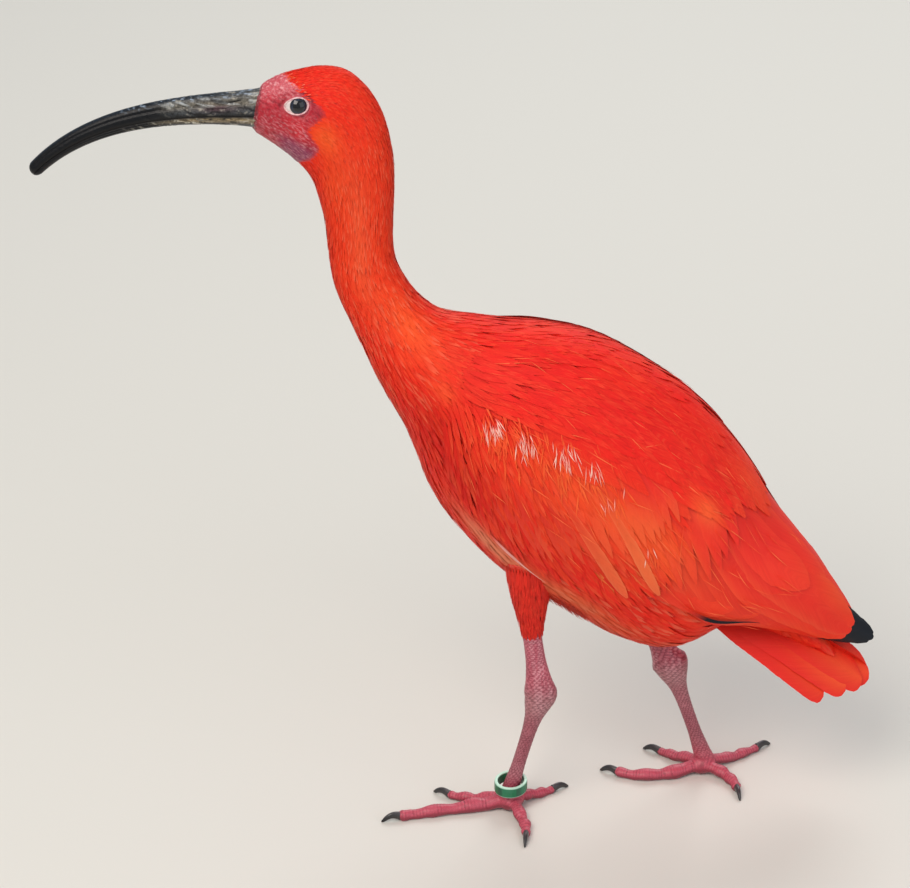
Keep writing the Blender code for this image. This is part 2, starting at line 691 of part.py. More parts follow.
def toe_line(toe):
    """A toe's line on the floor, from the middle of the foot to its end, at even steps."""
    start, bend, end = (np.array(place, float) for place in toe[:3])
    share = np.linspace(0, 1, 240)[:, None]
    middle = 2 * bend - 0.5 * (start + end)
    return (1 - share) ** 2 * start + 2 * share * (1 - share) * middle + share**2 * end


def toe_size(toe, at):
    """Half a toe's width at distances from the foot's middle: it tapers, over its joints."""
    share = at / toe_length(toe)
    start, loss = TOE_TAPER
    return toe[3] * (start - loss * share + TOE_JOINTS * np.cos(share * 6 * pi))


def toe_length(toe):
    return np.linalg.norm(np.diff(toe_line(toe), axis=0), axis=1).sum()


def toe_centre(toe, at):
    """The toe's middle at distances along it: it comes down from the foot and lies on the floor."""
    line = toe_line(toe)
    gone = np.concatenate([[0], np.cumsum(np.linalg.norm(np.diff(line, axis=0), axis=1))])
    ends = line[-1] + (line[-1] - line[-2]) / (gone[-1] - gone[-2]) * (at - gone[-1])[:, None]
    flat = np.stack([np.interp(at, gone, line[:, k]) for k in (0, 1)], 1)
    flat = np.where((at > gone[-1])[:, None], ends, flat)
    down = smooth_step(at, *TOE_DOWN)
    rise = PAD_HEIGHT * (1 - down) + toe_size(toe, np.minimum(at, gone[-1])) * TOE_LIFT * down
    return np.concatenate([flat, rise[:, None]], 1)


def toe_rings(toe, start, end, count):
    """Rings along a toe between two distances from the foot's middle, flat along the floor."""
    at = np.linspace(start, end, count)
    along = toe_centre(toe, at + 0.5) - toe_centre(toe, at - 0.5)
    size = toe_size(toe, at)
    rings = oval_path(toe_centre(toe, at), size, size * 1.02, TOE_SIDES, (0, 0, 1), along)
    rings[..., 2] = np.maximum(rings[..., 2], 0)
    return rings


def claw(name, toe):
    """A curved claw that grows from the toe's end face, inside its outline."""
    length = toe_length(toe)
    share = np.linspace(0, 1, 6)
    at = length + GAP + share * CLAW_LENGTH
    size = CLAW_RADIUS * np.sqrt(1 - share) + CLAW_POINT
    centres = toe_centre(toe, at)
    centres[:, 2] = toe[3] * CLAW_ROOT * (1 - share**2.2) + CLAW_HUMP * np.sin(share * pi)
    centres[:, 2] = np.maximum(centres[:, 2], size)
    along = np.gradient(centres, axis=0)
    along[0] = np.diff(toe_centre(toe, np.array([length - 0.5, length + 0.5])), axis=0)[0]
    rings = oval_path(centres, size * 1.1, size * 0.85, CLAW_SIDES, (0, 0, 1), along)
    rings[..., 2] = np.maximum(rings[..., 2], 0)
    return tube(name, rings, "claw")


def make_leg(side):
    leg = LEGS[side]
    rows, shank, tarsus = leg_rows(leg)
    knee, bare, hock, ankle = (np.array(leg[place]) for place in ("knee", "bare", "hock", "ankle"))
    down = unit(ankle - hock)
    turn = unit(unit(bare - knee) + unit(hock - bare))
    thigh = leg_piece(f"thigh_{side}", rows[:shank], 9, "plumage", (bare - knee, turn), (0, GAP / 2))
    boolean(thigh, [torso("cutter", grow=GAP)], "DIFFERENCE")
    split = np.array([[*lerp(hock, ankle, HOCK_SPLIT), *HOCK_END]])
    upper = np.concatenate([rows[shank:tarsus], split])
    lower = np.concatenate([split, rows[tarsus + 1:]])
    leg_piece(f"shank_{side}", upper, 11, "skin", (turn, down), (GAP / 2, GAP / 2))
    leg_piece(f"tarsus_{side}", lower, 12, "skin", (down, down), (GAP / 2, GAP / 2))
    pad = sphere(f"foot_{side}", (0, 0, 0), 1.0, "skin", rings=8, sides=12)
    for vertex in pad.data.vertices:
        place = np.array(vertex.co) / MM * PAD + (*ankle[:2], PAD_HEIGHT)
        place[2] = max(place[2], 0)
        vertex.co = place * MM
    depth, width = TARSUS[-1][1:]
    neck = ankle + down * (GAP / 2 + ANKLE_SPREAD * 5)[:, None]
    sizes = (depth + ANKLE_SPREAD, width + ANKLE_SPREAD)
    stubs = [tube("neck", oval_path(neck, *sizes, LEG_SIDES, (-1, 0, 0)))]
    for name, toe in leg["toes"].items():
        stubs.append(tube("stub", toe_rings(toe, 0, toe[-1] - GAP / 2, 5)))
        rings = toe_rings(toe, toe[-1] + GAP / 2, toe_length(toe), 9)
        tube(f"toe_{name}_{side}", rings, "skin")
        claw(f"claw_{name}_{side}", toe)
    boolean(pad, stubs, "UNION")


def make_band():
    """The ring is turned from its section and leans on the tops of the toes."""
    inner, half, ease = BAND_RADIUS - BAND_WALL, BAND_HEIGHT / 2, BAND_EASE
    section = [
        (inner, -half + ease), (inner + ease, -half), (BAND_RADIUS - ease, -half),
        (BAND_RADIUS, -half + ease), (BAND_RADIUS, half - ease), (BAND_RADIUS - ease, half),
        (inner + ease, half), (inner, half - ease),
    ]
    turn = np.arange(BAND_STEPS) * 2 * pi / BAND_STEPS
    profile = np.array(section)
    points = np.stack(
        [
            np.cos(turn)[:, None] * profile[None, :, 0],
            np.sin(turn)[:, None] * profile[None, :, 0],
            np.zeros(BAND_STEPS)[:, None] + profile[None, :, 1],
        ],
        -1,
    )
    tilt_x, tilt_y = (radians(a) for a in BAND_TILT)
    points[..., 2] += points[..., 0] * tilt_x + points[..., 1] * tilt_y
    points += np.array(BAND_AT)
    size = len(section)
    faces = [
        (
            row * size + k,
            row * size + (k + 1) % size,
            (row + 1) % BAND_STEPS * size + (k + 1) % size,
            (row + 1) % BAND_STEPS * size + k,
        )
        for row in range(BAND_STEPS)
        for k in range(size)
    ]
    new_object("leg_band", points.reshape(-1, 3), faces, "band")


def stand_on_origin():
    """Hangs every piece on an empty that puts the middle of the model's base at the origin."""
    pieces = [piece for piece in bpy.data.objects if piece.type == "MESH"]
    points = np.array([v.co for piece in pieces for v in piece.data.vertices])
    low, high = points.min(0), points.max(0)
    whole = bpy.data.objects.new("scarlet_ibis", None)
    bpy.context.scene.collection.objects.link(whole)
    whole.location = (-(low[0] + high[0]) / 2, -(low[1] + high[1]) / 2, -low[2])
    for piece in pieces:
        piece.parent = whole


def main():
    clear_scene()
    make_head()
    make_bill()
    make_neck_and_torso()
    for name, side in (("wing_left", 1), ("wing_right", -1)):
        make_wing(name, side)
    make_tail()
    for side in LEGS:
        make_leg(side)
    make_band()
    stand_on_origin()


main()
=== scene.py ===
import bpy
import numpy as np
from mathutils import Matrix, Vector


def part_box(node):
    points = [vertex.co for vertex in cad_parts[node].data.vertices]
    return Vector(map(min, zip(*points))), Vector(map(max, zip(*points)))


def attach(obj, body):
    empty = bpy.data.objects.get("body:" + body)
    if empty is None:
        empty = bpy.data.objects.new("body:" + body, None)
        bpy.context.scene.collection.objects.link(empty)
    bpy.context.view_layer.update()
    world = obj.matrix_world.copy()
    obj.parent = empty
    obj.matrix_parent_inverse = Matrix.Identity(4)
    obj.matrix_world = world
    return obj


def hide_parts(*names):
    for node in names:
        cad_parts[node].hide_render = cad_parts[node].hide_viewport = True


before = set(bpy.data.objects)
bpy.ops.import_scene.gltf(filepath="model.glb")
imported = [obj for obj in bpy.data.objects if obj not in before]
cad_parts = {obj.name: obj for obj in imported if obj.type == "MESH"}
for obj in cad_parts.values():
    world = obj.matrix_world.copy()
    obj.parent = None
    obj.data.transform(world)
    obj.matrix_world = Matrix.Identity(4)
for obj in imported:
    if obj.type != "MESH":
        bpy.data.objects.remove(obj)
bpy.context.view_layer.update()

print("frame loaded:", len(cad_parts), "nodes")

mm = 0.001
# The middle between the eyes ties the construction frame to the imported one
eyeMiddle = np.array((-90.4, 0.0, 464.0))
eyeCorners = np.array([corner for side in ("left", "right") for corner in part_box("eye_" + side)])
origin = (eyeCorners.min(0) + eyeCorners.max(0)) / 2 - eyeMiddle * mm
sides = {"left": 1, "right": -1}


# Small helpers

def srgb(code):
    # A hex colour as linear red, green and blue
    value = np.array([int(code[k:k + 2], 16) for k in (1, 3, 5)]) / 255
    return np.where(value <= 0.04045, value / 12.92, ((value + 0.055) / 1.055) ** 2.4)


def rgba(code):
    # The same with full alpha, as a shader's socket takes it
    return (*srgb(code), 1.0)


def smoothStep(value, low, high):
    # 0 up to low and 1 from high on, eased between them by 3 p^2 - 2 p^3
    part = np.clip((value - low) / (high - low), 0, 1)
    return part * part * (3 - 2 * part)


def bell(*offsets):
    # 1 where every offset is 0, falling as e to minus the sum of their squares
    return np.exp(-sum(offset**2 for offset in offsets))


def unit(vectors):
    # Each vector over its own length
    return vectors / np.linalg.norm(vectors, axis=-1, keepdims=True)


def mix(first, second, share):
    # From first to second by the share at each point
    return first + (second - first) * np.asarray(share)[..., None]


def filled(code, points):
    # One hex colour for every point
    return np.broadcast_to(srgb(code), points.shape)


def layered(colour, *layers):
    # Lays colours over a first one in turn, each by its own share
    for code, share in layers:
        colour = mix(colour, srgb(code) if isinstance(code, str) else code, share)
    return colour


def hashed(number, seed):
    # Whole numbers to repeatable values from 0 to 1
    value = np.sin(number * 12.9898 + seed * 78.233) * 43758.5453
    return value - np.floor(value)


def noise(points, size, seed=0):
    # Values from -1 to 1 drawn at the corners of cells size mm wide, and eased between them
    place = np.asarray(points, float) / size
    cell = np.floor(place)
    part = place - cell
    part = part * part * (3 - 2 * part)
    total = 0.0
    for corner in np.ndindex(2, 2, 2):
        number = (cell + corner) @ np.array((1.0, 57.0, 113.0))
        weight = np.prod(np.where(corner, part, 1 - part), -1)
        total = total + weight * (hashed(number, seed) * 2 - 1)
    return total


def readRows(rows, t):
    # A Catmull-Rom curve through the rows, which runs on in a straight line past the ends
    rows, t = np.asarray(rows, float), np.asarray(t, float)
    inside = np.clip(t, 0, len(rows) - 1)
    low = np.minimum(inside.astype(int), len(rows) - 2)
    part = (inside - low)[..., None]
    padded = np.concatenate([[2 * rows[0] - rows[1]], rows, [2 * rows[-1] - rows[-2]]])
    before, here, there, after = (padded[low + k] for k in range(4))
    value = 0.5 * (
        2 * here + (there - before) * part + (2 * before - 5 * here + 4 * there - after) * part**2
        + (3 * here - 3 * there + after - before) * part**3)
    slope = np.where((t > inside)[..., None], rows[-1] - rows[-2], rows[1] - rows[0])
    return value + (t - inside)[..., None] * slope


class Surface:
    # Ovals carried along a line. Each row is a centre, the way to the oval's top, half its height
    # and half its width. t counts the rings and phi turns in degrees from the top to the left
    def __init__(self, centres, tops, heights, widths, steps=1):
        # The ways to the left are square to the line and to the tops
        along = unit(np.gradient(centres, axis=0))
        tops = unit(tops - along * (tops * along).sum(-1, keepdims=True) * (steps == 1))
        lefts = unit(np.cross(along, tops))
        self.rows = np.concatenate([centres, tops, lefts, heights[:, None], widths[:, None]], 1)
        self.steps = steps
        self.last = (len(centres) - 1) / steps

    def flat(self, t, phi, lift=0.0):
        # The centre plus the top's way by the cosine of phi and the left's way by its sine
        row = readRows(self.rows, np.asarray(t) * self.steps)
        turn = np.radians(phi)
        up, out = (row[..., 9] + lift) * np.cos(turn), (row[..., 10] + lift) * np.sin(turn)
        return row[..., :3] + row[..., 3:6] * up[..., None] + row[..., 6:9] * out[..., None]

    def ways(self, t, phi):
        # How the point moves for one ring and for one degree
        stepT, stepPhi = 0.04, 1.0
        alongT = (self.flat(t + stepT, phi) - self.flat(t - stepT, phi)) / (2 * stepT)
        alongPhi = (self.flat(t, phi + stepPhi) - self.flat(t, phi - stepPhi)) / (2 * stepPhi)
        return alongT, alongPhi

    def normal(self, t, phi):
        # Square to both ways, so it points out of the surface
        alongT, alongPhi = self.ways(t, phi)
        return unit(np.cross(alongPhi, alongT))

    def scale(self, t, phi):
        # Millimetres for one ring and for one degree
        return [np.linalg.norm(way, axis=-1) for way in self.ways(t, phi)]

    def point(self, t, phi, lift=0.0):
        # A place on the surface, lifted along its normal
        t, phi = np.broadcast_arrays(np.asarray(t, float), np.asarray(phi, float))
        lift = np.broadcast_to(lift, t.shape)
        return self.flat(t, phi) + self.normal(t, phi) * lift[..., None]


def bodySurface(stations, steps=8):
    # The body's rings stand in the middle plane: x, z, lean of the top, half height, half width
    rows = np.array(list(stations.values()), float)
    read = readRows(rows, np.linspace(0, len(rows) - 1, (len(rows) - 1) * steps + 1))
    lean = np.radians(read[:, 2])
    flat = np.zeros(len(read))
    centres = np.stack([read[:, 0], flat, read[:, 1]], 1)
    tops = np.stack([np.cos(lean), flat, np.sin(lean)], 1)
    return Surface(centres, tops, read[:, 3], read[:, 4], steps)


def ringFaces(count, rows, ring):
    # Faces of count closed tubes of rows rings, with a cap on each end
    start = np.arange(count)[:, None, None] * rows * ring
    row = np.arange(rows - 1)[None, :, None] * ring
    here, there = np.arange(ring)[None, None, :], (np.arange(ring)[None, None, :] + 1) % ring
    later = row + ring
    corners = start + row + here, start + row + there, start + later + there, start + later + here
    quads = np.stack(np.broadcast_arrays(*corners), -1).reshape(-1, 4)
    first = np.arange(count)[:, None] * rows * ring + np.arange(ring)[None, ::-1]
    last = np.arange(count)[:, None] * rows * ring + (rows - 1) * ring + np.arange(ring)[None, :]
    return [quads, first, last]


def loopFaces(rows, ring):
    # Faces of a tube of rows rings that closes on itself
    row, later = (((np.arange(rows)[:, None] + k) % rows * ring) for k in (0, 1))
    here, there = (((np.arange(ring)[None] + k) % ring) for k in (0, 1))
    corners = np.broadcast_arrays(row + here, row + there, later + there, later + here)
    return np.stack(corners, -1).reshape(-1, 4)


def grid(rows, count, whole=360):
    # Rings at given rows, each with count places evenly round the whole turn
    return np.meshgrid(rows, np.arange(count) * whole / count, indexing="ij")


def makePiece(name, points, faces, materials, maps=None, paint=None, slots=None, crease=0):
    # One mesh from whole arrays. Its object stays at the origin, and its place is in its points
    mesh = bpy.data.meshes.new(name)
    corners = np.concatenate([group.ravel() for group in faces]).astype(np.int32)
    sizes = np.concatenate([np.full(len(group), group.shape[1]) for group in faces])
    mesh.vertices.add(len(points))
    mesh.vertices.foreach_set("co", (points * mm + origin).astype(np.float32).ravel())
    mesh.loops.add(len(corners))
    mesh.loops.foreach_set("vertex_index", corners)
    mesh.polygons.add(len(sizes))
    mesh.polygons.foreach_set("loop_start", (np.cumsum(sizes) - sizes).astype(np.int32))
    mesh.update(calc_edges=True)
    mesh.shade_smooth()
    for mapName, places in (maps or {}).items():
        layer = mesh.uv_layers.new(name=mapName)
        layer.uv.foreach_set("vector", places[corners].astype(np.float32).ravel())
    if paint is not None:
        layer = mesh.color_attributes.new("paint", "FLOAT_COLOR", "POINT")
        layer.data.foreach_set("color", paint.astype(np.float32).ravel())
    if slots is not None:
        mesh.polygons.foreach_set("material_index", slots.astype(np.int32))
    if crease:
        mesh.set_sharp_from_angle(angle=np.radians(crease))
    for material in materials:
        mesh.materials.append(material)
    piece = bpy.data.objects.new(name, mesh)
    bpy.context.scene.collection.objects.link(piece)
    return piece


def settle(piece, slot, *nodes):
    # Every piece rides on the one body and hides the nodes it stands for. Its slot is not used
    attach(piece, "root")
    if nodes:
        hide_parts(*nodes)
    return piece


def addNode(tree, kind, settings=None, values=None, links=None):
    # Adds a shader node, sets its options and its sockets, and links nodes or sockets to its inputs
    node = tree.nodes.new("ShaderNode" + kind)
    for key, value in (settings or {}).items():
        setattr(node, key, value)
    for key, value in (values or {}).items():
        node.inputs[key].default_value = value
    for key, source in (links or {}).items():
        tree.links.new(getattr(source, "outputs", [source])[0], node.inputs[key])
    return node


def newMaterial(name, **values):
    # A material, its nodes and its shader, with values set on the shader's own sockets
    material = bpy.data.materials.new(name)
    material.use_nodes = True
    shader = material.node_tree.nodes["Principled BSDF"]
    for key, value in values.items():
        shader.inputs[key.replace("_", " ")].default_value = value
    return material, material.node_tree, shader


# Finishes

def featherFinish(name, barbWidth, barbLength, deep, pale, paleColour, height, **values):
    # Feather vanes are thousands of keratin barbs: soft, satin, and streaked along the barbs. The
    # map runs across and along the barbs in mm. Real barbs are 0.2 to 0.3 mm apart, too fine to
    # show, so they are drawn in bundles barbWidth wide
    material, tree, shader = newMaterial(name, **values)
    colour = addNode(tree, "Attribute", {"attribute_name": "paint"})
    place = addNode(tree, "UVMap", {"uv_map": "barbs"})
    scaled = addNode(
        tree, "Mapping", None, {"Scale": (1 / barbWidth, 1 / barbLength, 1)},
        {"Vector": place.outputs["UV"]})
    streaks = addNode(
        tree, "TexNoise", {"noise_dimensions": "2D"},
        {"Scale": 1.0, "Detail": 2.0, "Roughness": 0.6}, {"Vector": scaled})
    shade = addNode(
        tree, "MapRange", None,
        {"From Min": 0.28, "From Max": 0.52, "To Min": 1 - deep, "To Max": 1.0}, {"Value": streaks})
    tinted = addNode(
        tree, "Mix", {"data_type": "RGBA", "blend_type": "MULTIPLY"}, {"Factor": 1.0},
        {"A": colour.outputs["Color"], "B": shade})
    lit = addNode(
        tree, "MapRange", None, {"From Min": 0.55, "From Max": 0.75, "To Min": 0.0, "To Max": pale},
        {"Value": streaks})
    # Black vanes have no pale streaks, so the streaks go by how red the feather is
    parted = addNode(tree, "SeparateColor", None, None, {"Color": colour.outputs["Color"]})
    show = addNode(tree, "Math", {"operation": "MULTIPLY"}, None, {0: lit, 1: parted})
    streaked = addNode(
        tree, "Mix", {"data_type": "RGBA"}, {"B": rgba(paleColour)},
        {"Factor": show, "A": tinted.outputs["Result"]})
    relief = addNode(tree, "Bump", None, {"Strength": 0.5, "Distance": height}, {"Height": streaks})
    tree.links.new(streaked.outputs["Result"], shader.inputs["Base Color"])
    tree.links.new(relief.outputs[0], shader.inputs["Normal"])
    return material


# Body feathers have loose silky barbs, so they scatter light softly and show long fine streaks
silkFinish = featherFinish(
    "silky contour feather", 0.9, 14.0, 0.12, 0.26, "#F26A40", 0.00025, Roughness=0.62,
    Specular_IOR_Level=0.2, Sheen_Weight=0.04, Sheen_Roughness=0.4, Sheen_Tint=rgba("#FF7A4A"))
# The head's feathers are short, dense and velvety, so hardly a streak shows
velvetFinish = featherFinish(
    "velvety head feather", 0.8, 9.0, 0.1, 0.16, "#F26A40", 0.00012, Roughness=0.66,
    Specular_IOR_Level=0.2, Sheen_Weight=0.04, Sheen_Roughness=0.4, Sheen_Tint=rgba("#FF7A4A"))
# Flight feathers have barbs that hook together into a smooth, firm vane with a low satin gloss
vaneFinish = featherFinish(
    "firm flight feather", 1.0, 34.0, 0.05, 0.12, "#F5663C", 0.00006, Roughness=0.5,
    Specular_IOR_Level=0.28)


def skinFinish(name, grain, contrast, height, folds=None, **values):
    # Bare skin: colour comes from the mesh, with pores and small folds of about grain mm over it.
    # Long pale folds may run over it, as strongly as the alpha of its paint says
    material, tree, shader = newMaterial(name, **values)
    colour = addNode(tree, "Attribute", {"attribute_name": "paint"})
    place = addNode(tree, "TexCoord")
    pores = addNode(
        tree, "TexNoise", None, {"Scale": 1 / (grain * mm), "Detail": 3.0, "Roughness": 0.6},
        {"Vector": place.outputs["Object"]})
    shade = addNode(
        tree, "MapRange", None,
        {"From Min": 0.3, "From Max": 0.7, "To Min": 1 - contrast, "To Max": 1 + contrast},
        {"Value": pores})
    tinted = addNode(
        tree, "Mix", {"data_type": "RGBA", "blend_type": "MULTIPLY"}, {"Factor": 1.0},
        {"A": colour.outputs["Color"], "B": shade})
    result, raised = tinted.outputs["Result"], pores.outputs[0]
    if folds:
        turned = addNode(
            tree, "Mapping", None, {"Rotation": (0, -np.radians(folds["slope"]), 0)},
            {"Vector": place.outputs["Object"]})
        drawn = addNode(
            tree, "Mapping", None, {"Scale": (folds["width"] / folds["length"], 1, 1)},
            {"Vector": turned})
        lines = addNode(
            tree, "TexNoise", None,
            {"Scale": 1 / (folds["width"] * mm), "Detail": 1.0, "Roughness": 0.5},
            {"Vector": drawn})
        crest = addNode(
            tree, "MapRange", None,
            {"From Min": 0.52, "From Max": 0.64, "To Min": 0.0, "To Max": 1.0}, {"Value": lines})
        show = addNode(
            tree, "Math", {"operation": "MULTIPLY"}, None, {0: crest, 1: colour.outputs["Alpha"]})
        folded = addNode(
            tree, "Mix", {"data_type": "RGBA"}, {"B": rgba(folds["colour"])},
            {"Factor": show, "A": result})
        total = addNode(
            tree, "Math", {"operation": "MULTIPLY_ADD"}, {2: 0.0}, {0: show, 1: lines, 2: raised})
        result, raised = folded.outputs["Result"], total.outputs[0]
    relief = addNode(tree, "Bump", None, {"Strength": 0.5, "Distance": height}, {"Height": raised})
    tree.links.new(result, shader.inputs["Base Color"])
    tree.links.new(relief.outputs[0], shader.inputs["Normal"])
    return material


# Warm living skin, slightly moist, so that folds catch small soft highlights
faceSkin = skinFinish(
    "bare face skin", 0.7, 0.2, 0.0004, Roughness=0.42, IOR=1.42,
    folds={"slope": 33, "width": 0.62, "length": 3.8, "colour": "#E29EA6"})
# Keratin scales on the legs are harder than skin and shine a little on each scale
scaleSkin = skinFinish("scaly leg skin", 0.7, 0.18, 0.0002, Roughness=0.42, IOR=1.5)
# The bill's horn is hard keratin, worn matt at the base and polished towards the tip
billHorn = skinFinish(
    "bill horn", 0.8, 0.34, 0.0003, Roughness=0.33, IOR=1.5, Specular_IOR_Level=0.26)
# Claw horn is dense, dark and smooth, with a clear shine on its ridge
clawHorn = skinFinish("claw horn", 0.8, 0.2, 0.0001, Roughness=0.3, IOR=1.54)
# The ring is dyed moulded nylon: even colour, soft gloss, fine scuffs
ringPlastic = skinFinish("dyed nylon", 0.5, 0.08, 0.00005, Roughness=0.35, IOR=1.53)
# A wet eye is mirror smooth over its colours
wetEye = skinFinish(
    "wet eye", 0.8, 0.1, 0.0, Roughness=0.12, IOR=1.38, Coat_Weight=1.0, Coat_Roughness=0.02,
    Coat_IOR=1.38)


# The body's rings from the bill to the root of the tail: x, z, lean, half height, half width
flesh = {
    "billBase": (-115.4, 458.1, 81, 13.0, 8.0),
    "face": (-108.7, 458.4, 83, 17.4, 10.0),
    "lore": (-102.1, 458.1, 82, 21.3, 12.0),
    "brow": (-93.8, 456.9, 80, 25.5, 14.2),
    "crown": (-84.3, 455.0, 75, 30.0, 16.5),
    "hindCrown": (-74.4, 450.6, 70, 33.3, 17.8),
    "occiput": (-66.5, 441.8, 63, 33.9, 17.8),
    "nape": (-60.9, 430.4, 54, 32.2, 17.0),
    "neckTop": (-57.2, 416.0, 45, 28.9, 16.0),
    "neckHigh": (-55.4, 401.0, 38, 25.9, 15.3),
    "neckSlim": (-54.6, 369.0, 31, 21.6, 15.0),
    "neckMid": (-51.8, 352.0, 30, 20.4, 15.4),
    "neckLow": (-44.4, 335.6, 33, 21.2, 17.0),
    "neckRoot": (-35.8, 320.1, 43, 24.3, 20.0),
    "breastTop": (-25.2, 304.8, 53, 30.2, 26.0),
    "breast": (-10.2, 291.5, 58, 39.5, 33.5),
    "shoulder": (2.6, 280.4, 57, 49.0, 40.0),
    "mantle": (20.1, 267.2, 55, 62.3, 46.5),
    "back": (42.2, 250.9, 55, 73.4, 51.0),
    "flank": (72.2, 226.1, 58, 79.9, 53.0),
    "loin": (105.7, 201.2, 59, 78.3, 51.0),
    "rump": (130.5, 168.6, 59, 64.0, 43.0),
    "vent": (157.0, 147.0, 57, 50.0, 33.5),
    "tailRoot": (180.0, 146.4, 55, 35.0, 21.0),
}
wrapStart = list(flesh).index("breastTop")
# The closed wings lie on these rings, which leave the body behind the loin
wrapped = dict(list(flesh.items())[wrapStart:list(flesh).index("rump")]) | {
    "tertials": (135.4, 177.6, 60, 69.7, 47.0),
    "roof": (161.2, 154.3, 56, 57.1, 39.5),
    "roofEnd": (186.4, 145.5, 50, 39.6, 32.0),
    "points": (212.0, 134.0, 48, 25.5, 23.0),
    "black": (235.0, 118.5, 48, 14.0, 14.0),
    "tips": (253.5, 109.0, 48, 7.0, 8.0),
}
body, wrap = bodySurface(flesh), bodySurface(wrapped)

# Where the bare face ends: pairs of phi and t, from the crown down to the throat
faceEdge = (
    (0, 2.15), (34, 2.7), (51, 3.4), (64, 4.15), (74, 4.7), (84, 4.5), (92, 4.2), (98, 4.15),
    (105, 4.5), (110, 5.05), (124, 4.9), (151, 4.25), (180, 4.0))


def bareShare(t, phi):
    # 1 on the bare face and 0 under feathers
    edge = np.interp(np.abs((phi + 180) % 360 - 180), *zip(*faceEdge))
    return 1 - smoothStep(t, edge - 0.25, edge + 0.25)


# Markings: soft patches over a base of scarlet. Each has a colour, a middle and a reach in t and
# phi, and a strength. t counts the body's rings, also on the wings, which start at the breast
baseScarlet = "#E81E12"
patches = (
    ("#EA3A16", (9.5, 90), (4.0, 400), 0.85),     # the neck is more orange
    ("#D42410", (9.0, 0), (4.0, 30), 0.7),        # and deeper along the nape
    ("#D02010", (9.5, 180), (4.5, 34), 0.7),      # and its front
    ("#EE5A22", (5.2, 96), (0.9, 15), 0.85),      # cheek behind the bare face
    ("#EA4A1C", (7.0, 118), (1.5, 24), 0.6),      # throat
    ("#EE6238", (9.6, 92), (2.6, 17), 0.45),      # paler side of the neck
    ("#FF5A24", (13.2, 60), (1.5, 24), 0.85),     # painted highlight before the shoulder
    ("#C2120C", (15.6, 118), (1.6, 26), 0.65),    # deep red breast
    ("#F2582C", (15.2, 84), (0.45, 8), 0.6),      # lit shoulder
    ("#E8181A", (17.4, 46), (2.8, 30), 0.6),      # cool red along the scapulars
    ("#F0401E", (18.6, 92), (2.2, 20), 0.6),      # lit red of the wing coverts
    ("#BE140C", (17.4, 118), (1.5, 16), 0.6),     # painted shade low on the wing, in deeper red
    ("#CC1A10", (19.2, 100), (0.7, 10), 0.5),
    ("#F8562A", (20.4, 88), (0.9, 14), 0.6),      # bright orange red behind it
    ("#F25A26", (19.6, 82), (1.5, 9), 0.6),       # orange under the scapulars' edge
    ("#E2906C", (18.6, 142), (0.9, 7), 0.85),     # pale flank under the wing's front edge
    ("#E07848", (20.0, 140), (1.0, 8), 0.6),
    ("#DC4A24", (21.0, 165), (1.6, 30), 0.5),     # belly and vent
    ("#F8521E", (22.4, 92), (1.4, 22), 0.2),      # orange on the flight feathers
    ("#FF6A30", (20.75, 57), (0.3, 6), 0.75),     # bright gap before the tertials
    ("#FF5A28", (21.3, 22), (0.5, 10), 0.3),
    ("#FF6226", (24.2, 36), (0.7, 18), 0.35),     # orange near the wing points
    # painted light: brighter red where the light only grazes the flight feathers
    ("#FF3A2C", (22.4, 52), (1.5, 34), 0.4),
)


def plumage(t, phi, points):
    # The markings of skin and coat: patches mixed in by a bell curve in t and phi, then a mottle
    phi = np.abs((np.asarray(phi) + 180) % 360 - 180)
    colour = np.broadcast_to(srgb(baseScarlet), (*phi.shape, 3))
    for code, middle, reach, strength in patches:
        near = bell((t - middle[0]) / reach[0], (phi - middle[1]) / reach[1])
        colour = mix(colour, srgb(code), near * strength)
    cloud = noise(points, 26, 3) * 0.6 + noise(points, 11, 4) * 0.4
    return layered(
        colour, ("#F4481E", np.clip(cloud, 0, 1) * 0.2), ("#C4120C", np.clip(-cloud, 0, 1) * 0.3))


def opaque(colour):
    # Adds an alpha of 1 and lays the colours out in one list
    return np.concatenate([colour, np.ones((*colour.shape[:-1], 1))], -1).reshape(-1, 4)


print("surfaces ready")


# Feathers

def shapedWidth(share, shape):
    # Half width along a vane as shares of its greatest one
    return np.interp(share, *zip(*shape))


# Outlines of vanes from root to tip, and sections across them as u and depth
roundVane = ((0, 0.45), (0.2, 0.8), (0.5, 1.0), (0.75, 0.96), (0.88, 0.78), (0.96, 0.48), (1, 0.16))
pointedVane = ((0, 0.4), (0.2, 0.8), (0.45, 1.0), (0.7, 0.84), (0.86, 0.5), (1, 0.06))
longVane = ((0, 0.4), (0.2, 0.75), (0.5, 1.0), (0.7, 0.88), (0.84, 0.66), (0.94, 0.36), (1, 0.08))
fingerVane = ((0, 0.2), (0.3, 0.6), (0.6, 0.95), (0.8, 1.0), (0.92, 0.8), (0.98, 0.45), (1, 0.2))
hairVane = ((0, 0.5), (0.3, 1.0), (0.6, 0.85), (1, 0.08))
triRing = ((-1, 0), (0.0, 0), (1, 0))
wideRing = ((-1, 0), (-0.6, 0), (-0.12, 0), (0.12, 0), (0.6, 0), (1, 0), (0.4, 1), (-0.4, 1))


def walk(surface, t, phi, lie, length, rows):
    # Paths over a surface from their roots: each step goes on by the surface's own scale
    pathT, pathPhi = [t], [phi]
    side = np.where(phi < 0, -1, 1)
    for _ in range(rows - 1):
        perRing, perDegree = surface.scale(pathT[-1], pathPhi[-1])
        step = length / (rows - 1)
        pathT.append(pathT[-1] + step * np.cos(lie) / perRing)
        pathPhi.append(pathPhi[-1] + step * np.sin(lie) / perDegree * side)
    return np.stack(pathT, 1), np.stack(pathPhi, 1)


